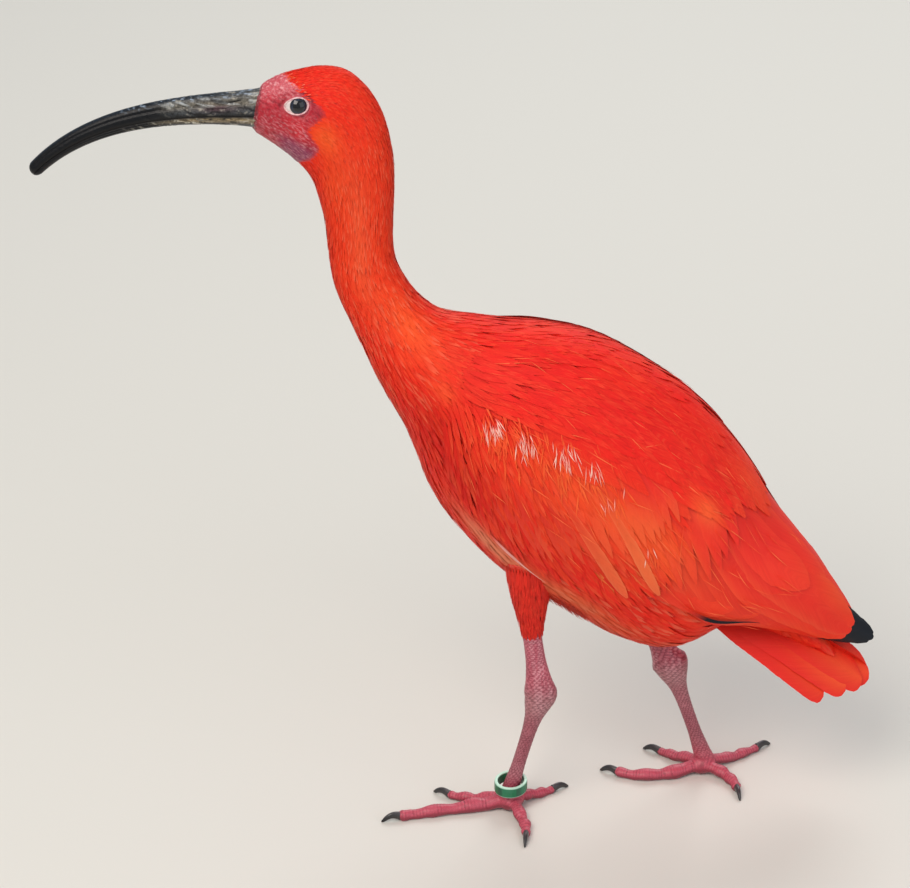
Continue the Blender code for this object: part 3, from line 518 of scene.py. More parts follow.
def barbMap(along, offset, angle, shift):
    # Places across and along the barbs, which leave the shaft at an angle on both its sides
    slant, offset = np.radians(angle), np.abs(offset)
    return np.stack([
        along * np.sin(slant) - offset * np.cos(slant) + shift[0],
        along * np.cos(slant) + offset * np.sin(slant) + shift[1]], -1)


def vanes(surface, pathT, pathPhi, level, halfWidth, settings, draw, bound=None):
    # Vanes as functions of the share along and of u across: a point lies on the surface at the path
    # plus u half widths across it, lifted by its level and by a crown that falls to the edges
    count, rows = pathT.shape
    share = np.linspace(0, 1, rows)
    across, under = np.array(settings["ring"]).T
    perRing, perDegree = surface.scale(pathT, pathPhi)
    goT, goPhi = np.gradient(pathT, axis=1) * perRing, np.gradient(pathPhi, axis=1) * perDegree
    length = np.hypot(goT, goPhi)
    goT, goPhi, perRing, perDegree = (
        way[..., None] for way in (goT / length, goPhi / length, perRing, perDegree))
    ragged = settings["fray"] * draw.uniform(-1, 1, (count, rows, 2))
    ragged = 1 + ragged * smoothStep(share, 0.3, 0.9)[:, None]
    edge = np.where(across[None, None] < 0, ragged[..., :1], ragged[..., 1:])
    width = shapedWidth(share, settings["shape"])[None, :, None]
    width = np.reshape(halfWidth, (-1, 1, 1)) * width * edge
    offset = width * across
    draw.uniform(0, 1, (count, rows, len(across)))  # keeps the draws after it as they are
    # Edges of the vane lag behind its shaft, as barbs slant towards the tip
    back = -np.abs(offset) * 0.35 * (share[None, :, None] ** 2)
    t = pathT[..., None] + (back * goT - offset * goPhi) / perRing
    phi = pathPhi[..., None] + (back * goPhi + offset * goT) / perDegree
    if bound is not None:
        # No feather reaches past bound degrees from the middle of the back
        side = np.where(pathPhi[:, :1, None] < 0, -1, 1)
        phi = side * np.maximum(side * phi, bound)
    lift = level[..., None] - settings["crown"] * across**2 * (width / width.max())
    lift = lift - settings["thick"] * under
    points = surface.point(t, phi, lift)
    along = np.cumsum(length, 1)[..., None] + 0 * offset
    shift = draw.uniform(0, 900, (2, count, 1, 1))
    barbs = barbMap(along, offset, settings["barbAngle"], shift)
    # Each vane is a patch 0.003 across at its root's place on the surface's own unwrap
    patch = 0.003
    rootU = 0.02 + 0.96 * np.clip(pathT[:, :1, None] / surface.last, 0, 1)
    rootV = 0.02 + 0.96 * ((pathPhi[:, :1, None] + 180) % 360) / 360
    bake = np.stack([
        rootU + patch * (share[None, :, None] - 0.5) + 0 * offset,
        rootV + patch * across[None, None] * 0.5 + 0 * offset], -1)
    return {
        "points": points, "t": t, "phi": phi, "share": share[None, :, None] + 0 * t,
        "across": across[None, None] + 0 * t, "barbs": barbs, "bake": bake,
        "each": draw.uniform(0, 1, (3, count, 1, 1)) + 0 * t}


def featherPiece(name, groups, material, slot, *nodes):
    # Joins groups of vanes, each with its colours, to one piece
    points, faces, barbs, bake, paint = [], [], [], [], []
    total = 0
    for vane, colour in groups:
        count, rows, ring, _ = vane["points"].shape
        faces += [group + total for group in ringFaces(count, rows, ring)]
        total += count * rows * ring
        points.append(vane["points"].reshape(-1, 3))
        barbs.append(vane["barbs"].reshape(-1, 2))
        bake.append(vane["bake"].reshape(-1, 2))
        paint.append(opaque(colour))
    maps = {"OFBake": np.concatenate(bake), "barbs": np.concatenate(barbs)}
    piece = makePiece(
        name, np.concatenate(points), faces, [material], maps, np.concatenate(paint), crease=40)
    settle(piece, slot, *nodes)
    triangles = sum(len(group) * (group.shape[1] - 2) for group in faces)
    print(f"{name}: {triangles} triangles")
    return piece


def scatter(surface, tSpan, phiSpan, length, halfWidth, cover, draw, keep=None):
    # Roots spread evenly: an even sequence in t and phi, kept by the surface's area and by how much
    # room one vane takes there
    probe, evenSteps = 4000, (0.7548776662, 0.5698402910)

    def place(count):
        # Even steps through t and phi, and the share of the places there that get a vane
        index = np.arange(count) + draw.integers(1000)
        t, phi = (
            span[0] + (span[1] - span[0]) * ((index * step) % 1)
            for span, step in zip((tSpan, phiSpan), evenSteps))
        perRing, perDegree = surface.scale(t, phi)
        need = perRing * perDegree * cover / (length(t, phi) * halfWidth(t, phi) * 1.5)
        return t, phi, need

    need = place(probe)[2]
    spans = (tSpan[1] - tSpan[0]) * (phiSpan[1] - phiSpan[0])
    t, phi, need = place(int(need.max() * spans))
    kept = draw.random(len(t)) < need / need.max()
    if keep is not None:
        kept &= keep(t, phi)
    return t[kept], phi[kept]


def byRing(rows):
    # A measure read from pairs of ring and value, the same all round
    return lambda t, phi: np.interp(t, *zip(*rows))


def bodyCoat(name, settings, nodes, surface=body, slot="plumage", colours=None, keep=None):
    # A tract of feathers on the body: roots, their lie, and levels that rise from root to tip
    draw = np.random.default_rng(settings["seed"])
    length, halfWidth = byRing(settings["length"]), byRing(settings["halfWidth"])
    groups = []
    for phiSpan in settings["phi"]:
        t, phi = scatter(
            surface, settings["t"], phiSpan, length, halfWidth, settings["cover"], draw, keep)
        long = length(t, phi) * draw.uniform(0.85, 1.15, len(t))
        wide = halfWidth(t, phi) * draw.uniform(0.85, 1.15, len(t))
        lie = np.radians(settings["lie"] + draw.normal(0, settings["stray"], len(t)))
        pathT, pathPhi = walk(surface, t, phi, lie, long, settings["rows"])
        share = np.linspace(0, 1, settings["rows"])
        sunk, raised = settings["levels"]
        level = sunk + (raised - sunk) * share**0.8
        level = level + draw.uniform(-0.12, 0.12, (len(t), 1)) * share
        if "over" in settings:
            level = level + settings["over"](pathT, pathPhi)
        vane = vanes(surface, pathT, pathPhi, level, wide, settings, draw)
        groups.append((vane, (colours or bodyColours)(vane, settings)))
    return featherPiece(name, groups, settings.get("finish", silkFinish), slot, *nodes)


def bodyColours(vane, settings):
    # The markings, a little different on each feather and lighter towards its tip
    colour = plumage(vane["t"] + settings.get("ringsBefore", 0), vane["phi"], vane["points"])
    pick, tone, warm = vane["each"]
    colour = colour * (0.93 + 0.08 * tone + 0.05 * vane["share"])[..., None]
    colour = mix(
        colour, srgb("#F4602A"), settings.get("orange", 0.1) * (warm > 0.6) * vane["share"])
    pale = settings.get("pale", 0.0) * (pick > 0.75) * smoothStep(vane["share"], 0.2, 1.0)
    return mix(colour, srgb(settings.get("paleColour", "#F08A66")), pale)


# Wings: where their edges run in degrees for each ring, and how far they stand off the body

wingEdges = (
    (1.35, 42, 84), (1.8, 28, 112), (2.6, 18, 126), (3.6, 13, 131), (4.6, 10, 130), (5.6, 7, 126),
    (6.5, 1, 118), (7.6, 0.4, 102), (9.2, 0.4, 108), (10.3, 0.4, 122), (11.1, 2, 124),
    (11.6, 8, 112))
wingRises = ((1.2, -1.2), (1.7, 0.4), (2.8, 3.2), (5.5, 3.6), (9.5, 2.2), (11.5, 0.8))
edgeRise = -0.5


def edgesAt(t):
    # The wing's upper and lower edge at each ring, along a curve through wingEdges
    fine = readRows(wingEdges, np.linspace(0, len(wingEdges) - 1, 200))
    return np.interp(t, fine[:, 0], fine[:, 1]), np.interp(t, fine[:, 0], fine[:, 2])


def riseAt(t, phi):
    # edgeRise at the wing's edges and full along its middle, by half a sine wave. Where the points
    # narrow, it is lower across the back
    top, low = edgesAt(t)
    across = np.clip((np.abs(phi) - top) / (low - top), 0, 1)
    dip = 4.0 * smoothStep(t, 9.2, 10.8) * (1 - smoothStep(np.abs(phi), 10, 52))
    return edgeRise + (np.interp(t, *zip(*wingRises)) - edgeRise) * np.sin(np.pi * across) - dip


def overWings(t, phi):
    # The feathers of the back lie over the wings' front and inner edges
    return (riseAt(t - wrapStart, phi) + 0.9) * smoothStep(t - wrapStart, 0.7, 1.9)


headCoat = {
    "t": (1.4, 7.0), "phi": ((-180, 180),), "length": ((1.5, 3.2), (3.2, 5.0), (7, 8.5)),
    "halfWidth": ((1.5, 0.4), (4, 0.6), (7, 0.72)), "cover": 3.2, "lie": 0, "stray": 5, "rows": 4,
    "levels": (-0.5, 0.06), "shape": pointedVane, "ring": triRing, "crown": 0.04, "thick": 0.0,
    "fray": 0.05, "barbAngle": 6, "seed": 11, "orange": 0.12, "pale": 0.1, "finish": velvetFinish}


def behindFace(t, phi):
    # Outside the bare face, along an edge that waves a little
    t = t + 0.1 + 0.12 * np.sin(phi * 1.3) + 0.1 * np.sin(phi * 3.1)
    return bareShare(t, phi) < 0.5


bodyCoat("coat_head", headCoat, ["head"], keep=behindFace)

# Where the feathers begin on the forehead they are short, loose and pale
foreheadCoat = headCoat | {
    "t": (1.3, 3.6), "phi": ((-66, 66),), "length": ((1.3, 2.2), (3.4, 3.2)),
    "halfWidth": ((1.3, 0.24), (3.4, 0.3)), "cover": 0.7, "stray": 12, "seed": 10,
    "levels": (-0.3, 0.3), "pale": 0.9, "orange": 0.9, "paleColour": "#EE9478"}
bodyCoat(
    "coat_forehead", foreheadCoat, ["head"],
    keep=lambda t, phi: np.abs(t + 0.15 - np.interp(np.abs(phi), *zip(*faceEdge))) < 0.32)

neckCoat = headCoat | {
    "t": (6.7, 11.2), "length": ((6.7, 10), (11, 13.0)), "rows": 5,
    "halfWidth": ((6.7, 0.62), (11, 0.8)), "cover": 3.4, "levels": (-0.7, 0.1), "seed": 12,
    "orange": 0.15, "pale": 0.25, "stray": 4}
bodyCoat("coat_neck_upper", neckCoat, ["neck_upper", "neck_middle"])

lowNeckCoat = neckCoat | {
    "t": (10.8, 14.8), "length": ((10.8, 13), (14.8, 19)), "rows": 6,
    "halfWidth": ((10.8, 0.85), (14.6, 1.3)), "seed": 13, "levels": (-0.9, 0.12),
    "finish": silkFinish}
bodyCoat("coat_neck_lower", lowNeckCoat, ["neck_lower"])

breastCoat = neckCoat | {
    "t": (14.3, 18.6), "phi": ((84, 180), (-180, -84)), "length": ((14, 18), (18.6, 24)),
    "halfWidth": ((14, 1.2), (18.6, 1.7)), "seed": 14, "levels": (-1.1, 0.15), "rows": 6,
    "cover": 3.2, "pale": 0.15, "paleColour": "#E8604C", "crown": 0.1, "finish": silkFinish}
bodyCoat("coat_breast", breastCoat, ["torso"])

bellyCoat = breastCoat | {
    "t": (18.2, 23.2), "phi": ((92, 180), (-180, -92)), "length": ((18.2, 24), (23, 26)),
    "halfWidth": ((18.2, 1.8), (23, 2.4)), "seed": 15, "pale": 0.3, "paleColour": "#E8906C"}
bodyCoat("coat_belly", bellyCoat, ["torso"])

mantleCoat = breastCoat | {
    "t": (14.1, 17.2), "phi": ((-94, 94),), "length": ((14, 18), (18, 28)),
    "halfWidth": ((14, 1.3), (18, 2.6)), "seed": 16, "pale": 0.04, "levels": (-0.9, 0.25),
    "stray": 3, "over": overWings, "barbAngle": 10}
bodyCoat("coat_mantle", mantleCoat, ["torso"])

backCoat = mantleCoat | {
    "t": (16.6, 20.8), "phi": ((-24, 24),), "length": ((16, 26), (21, 30)),
    "halfWidth": ((16, 2.6), (21, 3.4)), "seed": 17, "levels": (-1.1, 0.5)}
bodyCoat(
    "coat_back", backCoat, ["torso"],
    keep=lambda t, phi: np.abs(phi) < edgesAt(t - wrapStart)[0] + 9)

rumpCoat = breastCoat | {
    "t": (19.5, 23.2), "phi": ((-95, 95),), "length": ((18, 24), (23, 26)),
    "halfWidth": ((18, 4.0), (23, 4.4)), "seed": 18, "cover": 2.0}
bodyCoat("coat_rump", rumpCoat, ["torso"])


# Loose dark red hairs hang under the flank, behind the front thigh
fringeCoat = breastCoat | {
    "t": (19.3, 20.2), "phi": ((146, 164), (-164, -146)), "length": ((19, 7.5), (21, 7.5)),
    "halfWidth": ((19, 0.3), (21, 0.3)), "seed": 9, "levels": (-0.6, 1.6), "cover": 0.9,
    "stray": 16, "shape": hairVane, "lie": 8}


def fringeColours(vane, settings):
    # One dark red, brighter or darker on each hair
    return filled("#C0301A", vane["points"]) * (0.7 + 0.6 * vane["each"][1])[..., None]


bodyCoat("flank_fringe", fringeCoat, ["torso"], colours=fringeColours)


def wingColours(vane, settings):
    # Markings of the wing, with paler or orange tips on some tiers, and black where it is set
    colour = plumage(vane["t"] + wrapStart, vane["phi"], vane["points"])
    pick, tone, warm = vane["each"]
    share, across = vane["share"], vane["across"]
    colour = colour * (0.95 + 0.07 * tone)[..., None]
    first, last = settings.get("tipOrder", (0.0, 1.0))
    order = vane["order"]
    tip = smoothStep(share, *settings.get("tipFrom", (0.55, 1.0)))
    tip = tip * (order >= first) * (order <= last)
    tip = tip * settings.get("tipStrength", 0.3) * (0.4 + 0.6 * warm)
    colour = mix(colour, srgb(settings.get("tip", "#F8582A")), tip)
    edge = np.abs(across) ** 4 * settings.get("edge", 0.25)
    colour = mix(colour, srgb(settings.get("edgeColour", "#FA6A3A")), edge * (0.2 + 0.6 * pick))
    # Painted shade darkens each vane where the next vane covers it
    shade = 0.1 * (1 - smoothStep(share, 0.35, 0.8)) * (1 - np.abs(across))
    colour = colour * (1 - shade)[..., None]
    black = smoothStep(vane["t"], *settings["blackFrom"]) if "blackFrom" in settings else 0 * share
    return mix(colour, srgb("#0E131C"), black)


tiers = {
    "primaries": {
        "count": 8, "roots": ((7.6, 104), (9.2, 30)), "lift": 0.3, "halfWidth": 7.0,
        "tips": (
            (10.3, 112), (11.25, 108), (11.75, 92), (11.95, 72), (11.9, 50), (11.75, 28),
            (11.5, 10)),
        "blackFrom": (10.45, 10.75), "edge": 0.0, "tipStrength": 0.0},
    "secondaries": {
        "count": 10, "roots": ((5.6, 104), (6.4, 24)), "lift": 0.7, "halfWidth": 11.5,
        "tips": (
            (8.3, 92), (9.3, 97), (10.35, 107), (11.05, 97), (11.15, 72), (11.1, 44), (11.1, 22)),
        "tip": "#FF5C26", "tipStrength": 0.22, "edge": 0.35},
    "tertials": {
        "count": 4, "roots": ((6.2, 44), (6.4, 8)), "lift": 1.2, "halfWidth": 12.5,
        "tips": ((9.5, 52), (9.9, 36), (10.5, 19), (10.8, 5)), "tipStrength": 0.22, "edge": 0.35},
    "greaterCoverts": {
        "count": 13, "roots": ((4.1, 98), (6.0, 34)), "lift": 1.3, "halfWidth": 6.2,
        "tips": ((5.7, 124), (6.4, 117), (6.85, 106), (7.15, 95), (7.5, 78), (7.5, 58)),
        "tip": "#F08038", "tipFrom": (0.3, 0.75), "tipStrength": 1.0, "edge": 0.2,
        "tipOrder": (0.12, 0.45), "shape": longVane},
    "midCoverts": {
        "count": 20, "roots": ((2.8, 94), (4.8, 46)), "lift": 1.8, "halfWidth": 4.4,
        "tips": ((4.6, 125), (5.3, 116), (5.8, 102), (6.2, 86), (6.4, 70)), "tip": "#F06A34",
        "tipStrength": 0.4, "edge": 0.15, "shape": longVane},
    "orangeCoverts": {
        "count": 2, "roots": ((4.5, 88), (4.85, 76)), "lift": 3.1, "halfWidth": 3.6,
        "tips": ((6.5, 115), (6.82, 105)), "tip": "#EE7840", "tipFrom": (0.1, 0.8),
        "tipStrength": 0.85, "edge": 0.3, "edgeColour": "#F49058", "shape": fingerVane},
    "longScapulars": {
        "count": 9, "roots": ((4.0, 60), (5.4, 12)), "lift": 2.0, "halfWidth": 9.0,
        "tips": ((6.2, 70), (6.9, 58), (7.3, 43), (7.85, 26), (7.7, 10)), "tip": "#F8562C",
        "tipStrength": 0.35, "edge": 0.15, "shape": longVane},
    "scapulars": {
        "count": 10, "roots": ((2.9, 66), (4.4, 12)), "lift": 2.5, "halfWidth": 8.5,
        "tips": ((5.0, 76), (5.8, 66), (6.3, 50), (6.6, 32), (6.6, 11)), "tip": "#F04A26",
        "tipStrength": 0.15, "edge": 0.08, "shape": longVane}}
bigVane = {
    "rows": 24, "shape": roundVane, "ring": wideRing, "crown": 0.5, "thick": 0.45, "fray": 0.05,
    "barbAngle": 16, "sink": 1.2, "raise": 0.5}


# The near wing's inner feathers lie a few degrees over the middle of the back, and the far wing's
# under them, as on a resting bird
innerEdge = {1: -5.0, -1: 0.3}


def nearOver(t, phi, side):
    # The near wing's inner feathers are lifted over the far wing's, whose point lies lower
    if side > 0:
        return 0.7 * (1 - smoothStep(phi, 4, 30))
    return -4.0 * smoothStep(t, 7.4, 9.4) * (1 - smoothStep(phi, 34, 76))


def wingTier(settings, side, draw):
    # Vanes from a line of roots to a line of tips, the later ones lying over the earlier
    share = np.linspace(0, 1, bigVane["rows"])
    order = np.linspace(0, 1, settings["count"])
    roots = mix(
        np.array(settings["roots"][0], float)[None], np.array(settings["roots"][1])[None], order)
    tips = readRows(settings["tips"], order * (len(settings["tips"]) - 1))
    tips = tips + draw.normal(0, 1, tips.shape) * (0.03, 0.8)
    if side < 0:
        # The far wing's point tucks under the near one
        tuck = smoothStep(tips[:, 0], 9.6, 11.0)
        tips = tips + np.stack([-0.7 * tuck, np.maximum(34 - tips[:, 1], 0) * tuck], 1)
    pathT = roots[:, :1] + (tips[:, :1] - roots[:, :1]) * share
    pathPhi = roots[:, 1:] + (tips[:, 1:] - roots[:, 1:]) * share**1.25
    # Near the inner edge the tiers lie flat, so that the two wings meet in one clean line
    flatter = smoothStep(pathPhi, 6, 66)
    level = riseAt(pathT, pathPhi) + settings["lift"] * (0.25 + 0.75 * flatter)
    level = level + nearOver(pathT, pathPhi, side)
    level = level + (np.arange(len(order)) * 0.03)[:, None]
    level = level + bigVane["raise"] * share - bigVane["sink"] * (1 - share)
    wide = settings["halfWidth"] * draw.uniform(0.94, 1.06, len(order))
    vane = vanes(
        wrap, pathT, pathPhi * side, level, wide, bigVane | settings, draw, innerEdge[side])
    vane["order"] = order[:, None, None] + 0 * vane["share"]
    return vane


def wingCore(side):
    # The plate under the wing's feathers, between its outer and inner face
    rows, columns = 60, 40
    t = np.linspace(wingEdges[0][0] + 0.15, wingEdges[-1][0], rows)[:, None]
    top, low = edgesAt(t)
    phi = top + 1 + (low - top - 2) * np.linspace(0, 1, columns)[None, :]
    rise = riseAt(t, phi) - 0.4
    if side < 0:
        rise = rise + nearOver(t, phi, side)
    outer = wrap.point(t, phi * side, rise)
    inner = wrap.point(t, phi * side, np.minimum(rise - 1.2, -0.6))
    ring = np.concatenate([outer, inner[:, ::-1]], 1)
    if side < 0:
        ring = ring[:, ::-1]
    both = np.concatenate([phi, phi[:, ::-1]], 1)
    paint = plumage(t + wrapStart + 0 * both, both, ring)
    paint = mix(paint, srgb("#0E131C"), smoothStep(t + 0 * both, 10.6, 10.9))
    bake = np.stack(
        np.broadcast_arrays(0.02 + 0.96 * t / wrap.last, 0.02 + 0.96 * (both * side + 180) / 360),
        -1)
    return ring, paint, bake


covertCoat = breastCoat | {
    "t": (1.4, 6.2), "length": ((1.3, 18), (5, 30)), "orange": 0.25,
    "halfWidth": ((1.3, 1.1), (5, 1.9)), "lie": 30, "stray": 5, "cover": 3.2, "levels": (-1.0, 0.3),
    "pale": 0.12, "paleColour": "#F4805A", "ringsBefore": wrapStart, "lift": 2.0}
scapularCoat = covertCoat | {
    "t": (1.4, 6.3), "length": ((1.3, 22), (5, 38)), "orange": 0.1,
    "halfWidth": ((1.3, 1.6), (5, 3.0)), "lie": -2, "stray": 3, "pale": 0.03, "cover": 3.4,
    "lift": 2.9, "levels": (-1.2, 0.15)}
scapularLine = ((1.3, 86), (2.45, 81), (3.4, 76), (4.73, 68), (5.68, 70), (6.7, 62), (7.43, 57))
# Bleached, frayed feathers under the scapulars' edge: ring, degrees, spread in mm and how many
frayed = {
    "clumps": (
        (2.85, 80, 2.6, 26), (3.6, 77.5, 2.8, 26), (4.35, 72.5, 3.0, 26), (4.8, 70, 2.2, 12),
        (5.3, 77, 3.4, 6), (6.3, 88, 3.0, 3)),
    "length": 9.0, "halfWidth": 0.27, "lie": 44, "stray": 13, "colour": "#FCD4C4"}
looseVane = {
    "shape": hairVane, "ring": triRing, "crown": 0.05, "thick": 0.0, "fray": 0.1, "barbAngle": 4}


def wingCoat(settings, side, seed, keep):
    # Small feathers of the wing, combed down and back over the closed wing's own shape
    draw = np.random.default_rng(seed)
    length, halfWidth = byRing(settings["length"]), byRing(settings["halfWidth"])
    t, phi = scatter(
        wrap, settings["t"], (5, 132), length, halfWidth, settings["cover"], draw, keep)
    lie = np.radians(
        settings["lie"] * (1 - 0.35 * smoothStep(t, 2.5, 5.5))
        + draw.normal(0, settings["stray"], len(t)))
    long = length(t, phi) * draw.uniform(0.85, 1.15, len(t))
    wide = halfWidth(t, phi) * draw.uniform(0.85, 1.15, len(t))
    pathT, pathPhi = walk(wrap, t, phi, lie, long, settings["rows"])
    share = np.linspace(0, 1, settings["rows"])
    sunk, raised = settings["levels"]
    flatter = 0.3 + 0.7 * smoothStep(pathPhi, 6, 66)
    level = riseAt(pathT, pathPhi) + sunk + (raised - sunk) * share**0.8
    level = level + settings["lift"] * flatter
    level = level + draw.uniform(-0.1, 0.1, (len(t), 1)) * share + nearOver(pathT, pathPhi, side)
    vane = vanes(wrap, pathT, pathPhi * side, level, wide, settings, draw, innerEdge[side])
    return vane, bodyColours(vane, settings)


def strayLie(t, phi):
    # Barbs over the scapulars run straight back, and those over the coverts run down
    return np.where(phi < np.interp(t, *zip(*scapularLine)), 0, 26 - 2 * t)


def looseVanes(
        side, seed, starts, spread, length, halfWidth, lie, lift, code, rows=6, strength=1.0):
    # Single hair-like vanes that start round given places
    draw = np.random.default_rng(seed)
    t, phi = np.array(starts, float).T
    perRing, perDegree = wrap.scale(t, phi)
    spread = np.asarray(spread, float)
    t = t + draw.normal(0, 1, len(t)) * spread / perRing
    phi = phi + draw.normal(0, 1, len(t)) * spread / perDegree
    lie = lie(t, phi) if callable(lie) else lie
    way = np.radians(lie + draw.normal(0, frayed["stray"], len(t)) * (spread > 0))
    long = length * draw.uniform(0.6, 1.25, len(t))
    pathT, pathPhi = walk(wrap, t, phi, way, long, rows)
    share = np.linspace(0, 1, rows)
    flatter = 0.3 + 0.7 * smoothStep(pathPhi, 6, 66)
    level = riseAt(pathT, pathPhi) + lift * flatter + 0.6 * share - 0.4
    level = level + nearOver(pathT, pathPhi, side)
    wide = halfWidth * draw.uniform(0.7, 1.3, len(t))
    vane = vanes(wrap, pathT, pathPhi * side, level, wide, looseVane, draw)
    colour = plumage(vane["t"] + wrapStart, vane["phi"], vane["points"])
    show = strength * smoothStep(vane["share"], 0.0, 0.5) * (0.3 + 0.7 * vane["each"][0])
    return vane, mix(colour, srgb(code), np.minimum(show, 1))


def onCoverts(t, phi):
    # Between the scapulars' lower line and the wing's lower edge
    return (phi > np.interp(t, *zip(*scapularLine)) - 4) & (phi < edgesAt(t)[1] - 7)


def onScapulars(t, phi):
    # From the middle of the back down to the scapulars' lower line
    return (phi < np.interp(t, *zip(*scapularLine)) - 9) & (phi > 4)


def gridPaint(colour):
    # Colours of a whole grid, without transparency
    return opaque(colour.reshape(-1, 3))


for sideName, side in sides.items():
    node = "wing_" + sideName
    draw = np.random.default_rng(31 if side > 0 else 47)
    made = {tier: wingTier(settings, side, draw) for tier, settings in tiers.items()}

    def tierGroups(*names):
        # Several tiers of this wing, each with its colours
        return [(made[name], wingColours(made[name], tiers[name])) for name in names]

    featherPiece(
        node + "_flight", tierGroups("primaries", "secondaries", "tertials"), vaneFinish,
        "flight_feathers", node)
    featherPiece(
        node + "_long_coverts", tierGroups("greaterCoverts", "midCoverts", "orangeCoverts"),
        vaneFinish, "flight_feathers", node)
    featherPiece(
        node + "_scapulars", tierGroups("longScapulars", "scapulars"), silkFinish,
        "flight_feathers", node)
    soft = wingCoat(covertCoat, side, 21, onCoverts)
    featherPiece(node + "_small_coverts", [soft], silkFinish, "flight_feathers", node)
    soft = wingCoat(scapularCoat, side, 22, onScapulars)
    featherPiece(node + "_small_scapulars", [soft], silkFinish, "flight_feathers", node)
    starts = [place[:2] for place in frayed["clumps"] for _ in range(place[3])]
    spread = np.array([place[2] for place in frayed["clumps"] for _ in range(place[3])])
    wisps = looseVanes(
        side, 23, starts, spread, frayed["length"], frayed["halfWidth"], frayed["lie"], 3.1,
        frayed["colour"])
    glow = looseVanes(
        side, 26, starts * 2, np.tile(spread, 2) * 2.4, 15, 0.5, 36, 2.5, "#FF7A3C", strength=0.5)
    t, phi = scatter(
        wrap, (1.8, 9.0), (14, 112), lambda t, phi: 20 + 0 * t, lambda t, phi: 1.0 + 0 * t, 0.16,
        np.random.default_rng(27))
    stray = looseVanes(
        side, 28, np.stack([t, phi], 1), np.full(len(t), 0.5), 20, 0.26, strayLie, 2.9, "#FF7C48",
        strength=0.75)
    # A thin white feather edge on the flank, and a black vane under the flight feathers as painted
    # shadow of a gap between feathers
    white = looseVanes(
        side, 24, [(4.25, 133.0), (4.3, 133.6)], np.zeros(2), 42, 0.7, 3, 2.0, "#FBF2EC", 12)
    gapShadow = looseVanes(
        side, 25, [(7.4, 104.0)], np.zeros(1), 62, 2.1, -1, 3.0, "#0E131C", 16, strength=3.3)
    featherPiece(
        node + "_frayed_barbs", [wisps, glow, stray, white, gapShadow], silkFinish, "flight_feathers",
        node)
    ring, paint, bake = wingCore(side)
    core = makePiece(
        node + "_core", ring.reshape(-1, 3), ringFaces(1, *ring.shape[:2]), [vaneFinish],
        {"OFBake": bake.reshape(-1, 2), "barbs": ring.reshape(-1, 3)[:, ::2]}, gridPaint(paint))
    settle(core, "flight_feathers", node)
print("wings ready")


# Tail: pairs of vanes that slope outwards under one another, over a small core of coverts

tailCore = {
    "root": (179.0, 147.1, 55, 33.0, 19.0),
    "coverts": (199.0, 130.0, 54, 20.0, 15.0),
    "under": (217.0, 113.0, 52, 9.5, 12.0),
    "end": (233.0, 98.5, 51, 3.5, 8.0),
}
tail = {
    "pairs": 4, "middle": ((160.0, 1.5, 140.5), (255.5, 4.0, 84.0)),
    "outer": ((148.0, 9.0, 138.0), (226.0, 24.0, 86.0)), "arch": 2.5, "crown": 0.7,
    "halfWidth": 13.5, "thick": 0.55, "step": 0.9, "slope": 42, "rows": 44, "columns": 9}
tailShape = (
    (0, 0.45), (0.3, 0.85), (0.62, 1.0), (0.86, 1.0), (0.92, 0.93), (0.96, 0.78), (0.985, 0.55),
    (1, 0.25))


def tailVanes(draw):
    # Each vane is a line from root to tip with u half widths across it, arched along and across
    rows = tail["rows"]
    share = np.linspace(0, 1, rows)
    ringAcross = np.concatenate([np.linspace(-1, 1, tail["columns"]), np.linspace(0.6, -0.6, 4)])
    under = np.concatenate([np.zeros(tail["columns"]), np.ones(4)])
    groups = []
    for side in sides.values():
        pair = np.arange(tail["pairs"])
        part = pair / (tail["pairs"] - 1)
        middle, outer = np.array(tail["middle"]), np.array(tail["outer"])
        ends = middle + (outer - middle) * part[:, None, None]
        ends[:, 1, 0] = middle[1, 0] + (outer[1, 0] - middle[1, 0]) * part**1.6
        line = ends[:, :1] + (ends[:, 1:] - ends[:, :1]) * share[None, :, None]
        below = tail["step"] * (pair + (side < 0) / 2)
        line[..., 2] += tail["arch"] * np.sin(np.pi * share) - below[:, None] * (0.4 + 0.6 * share)
        slope = np.radians(tail["slope"])
        across = np.array((0, np.cos(slope), -np.sin(slope)))
        width = tail["halfWidth"] * shapedWidth(share, tailShape)
        ragged = 1 + 0.02 * draw.uniform(-1, 1, (len(pair), rows, 1))
        offset = width[None, :, None] * ringAcross * ragged
        points = line[:, :, None] + across * offset[..., None]
        along = unit(ends[:, 1] - ends[:, 0])
        lag = np.abs(offset) * 0.12 * share[None, :, None]
        points = points - along[:, None, None] * lag[..., None]
        points[..., 2] += tail["crown"] * (1 - ringAcross**2) - tail["thick"] * under
        points[..., 1] *= -side
        if side > 0:
            points = points[:, :, ::-1]
        mapAcross = (ringAcross if side < 0 else ringAcross[::-1])[None, None] + 0 * offset
        run = share[None, :, None] * 90 + 0 * offset
        barbs = barbMap(run, offset, 32, draw.uniform(0, 900, (2, len(pair), 1, 1)))
        bake = np.stack([
            0.05 + 0.9 * (part[:, None, None] * 0.5 + 0.25 + side * 0.22) + 0.0015 * mapAcross,
            0.2 + 0.003 * share[None, :, None] + 0 * offset], -1)
        vane = {
            "points": points, "t": 24 + 0 * offset, "phi": 60 + 0 * offset, "barbs": barbs,
            "bake": bake, "share": share[None, :, None] + 0 * offset, "across": mapAcross,
            "each": draw.uniform(0, 1, (3, len(pair), 1, 1)) + 0 * offset}
        groups.append((vane, tailColours(vane)))
    return groups


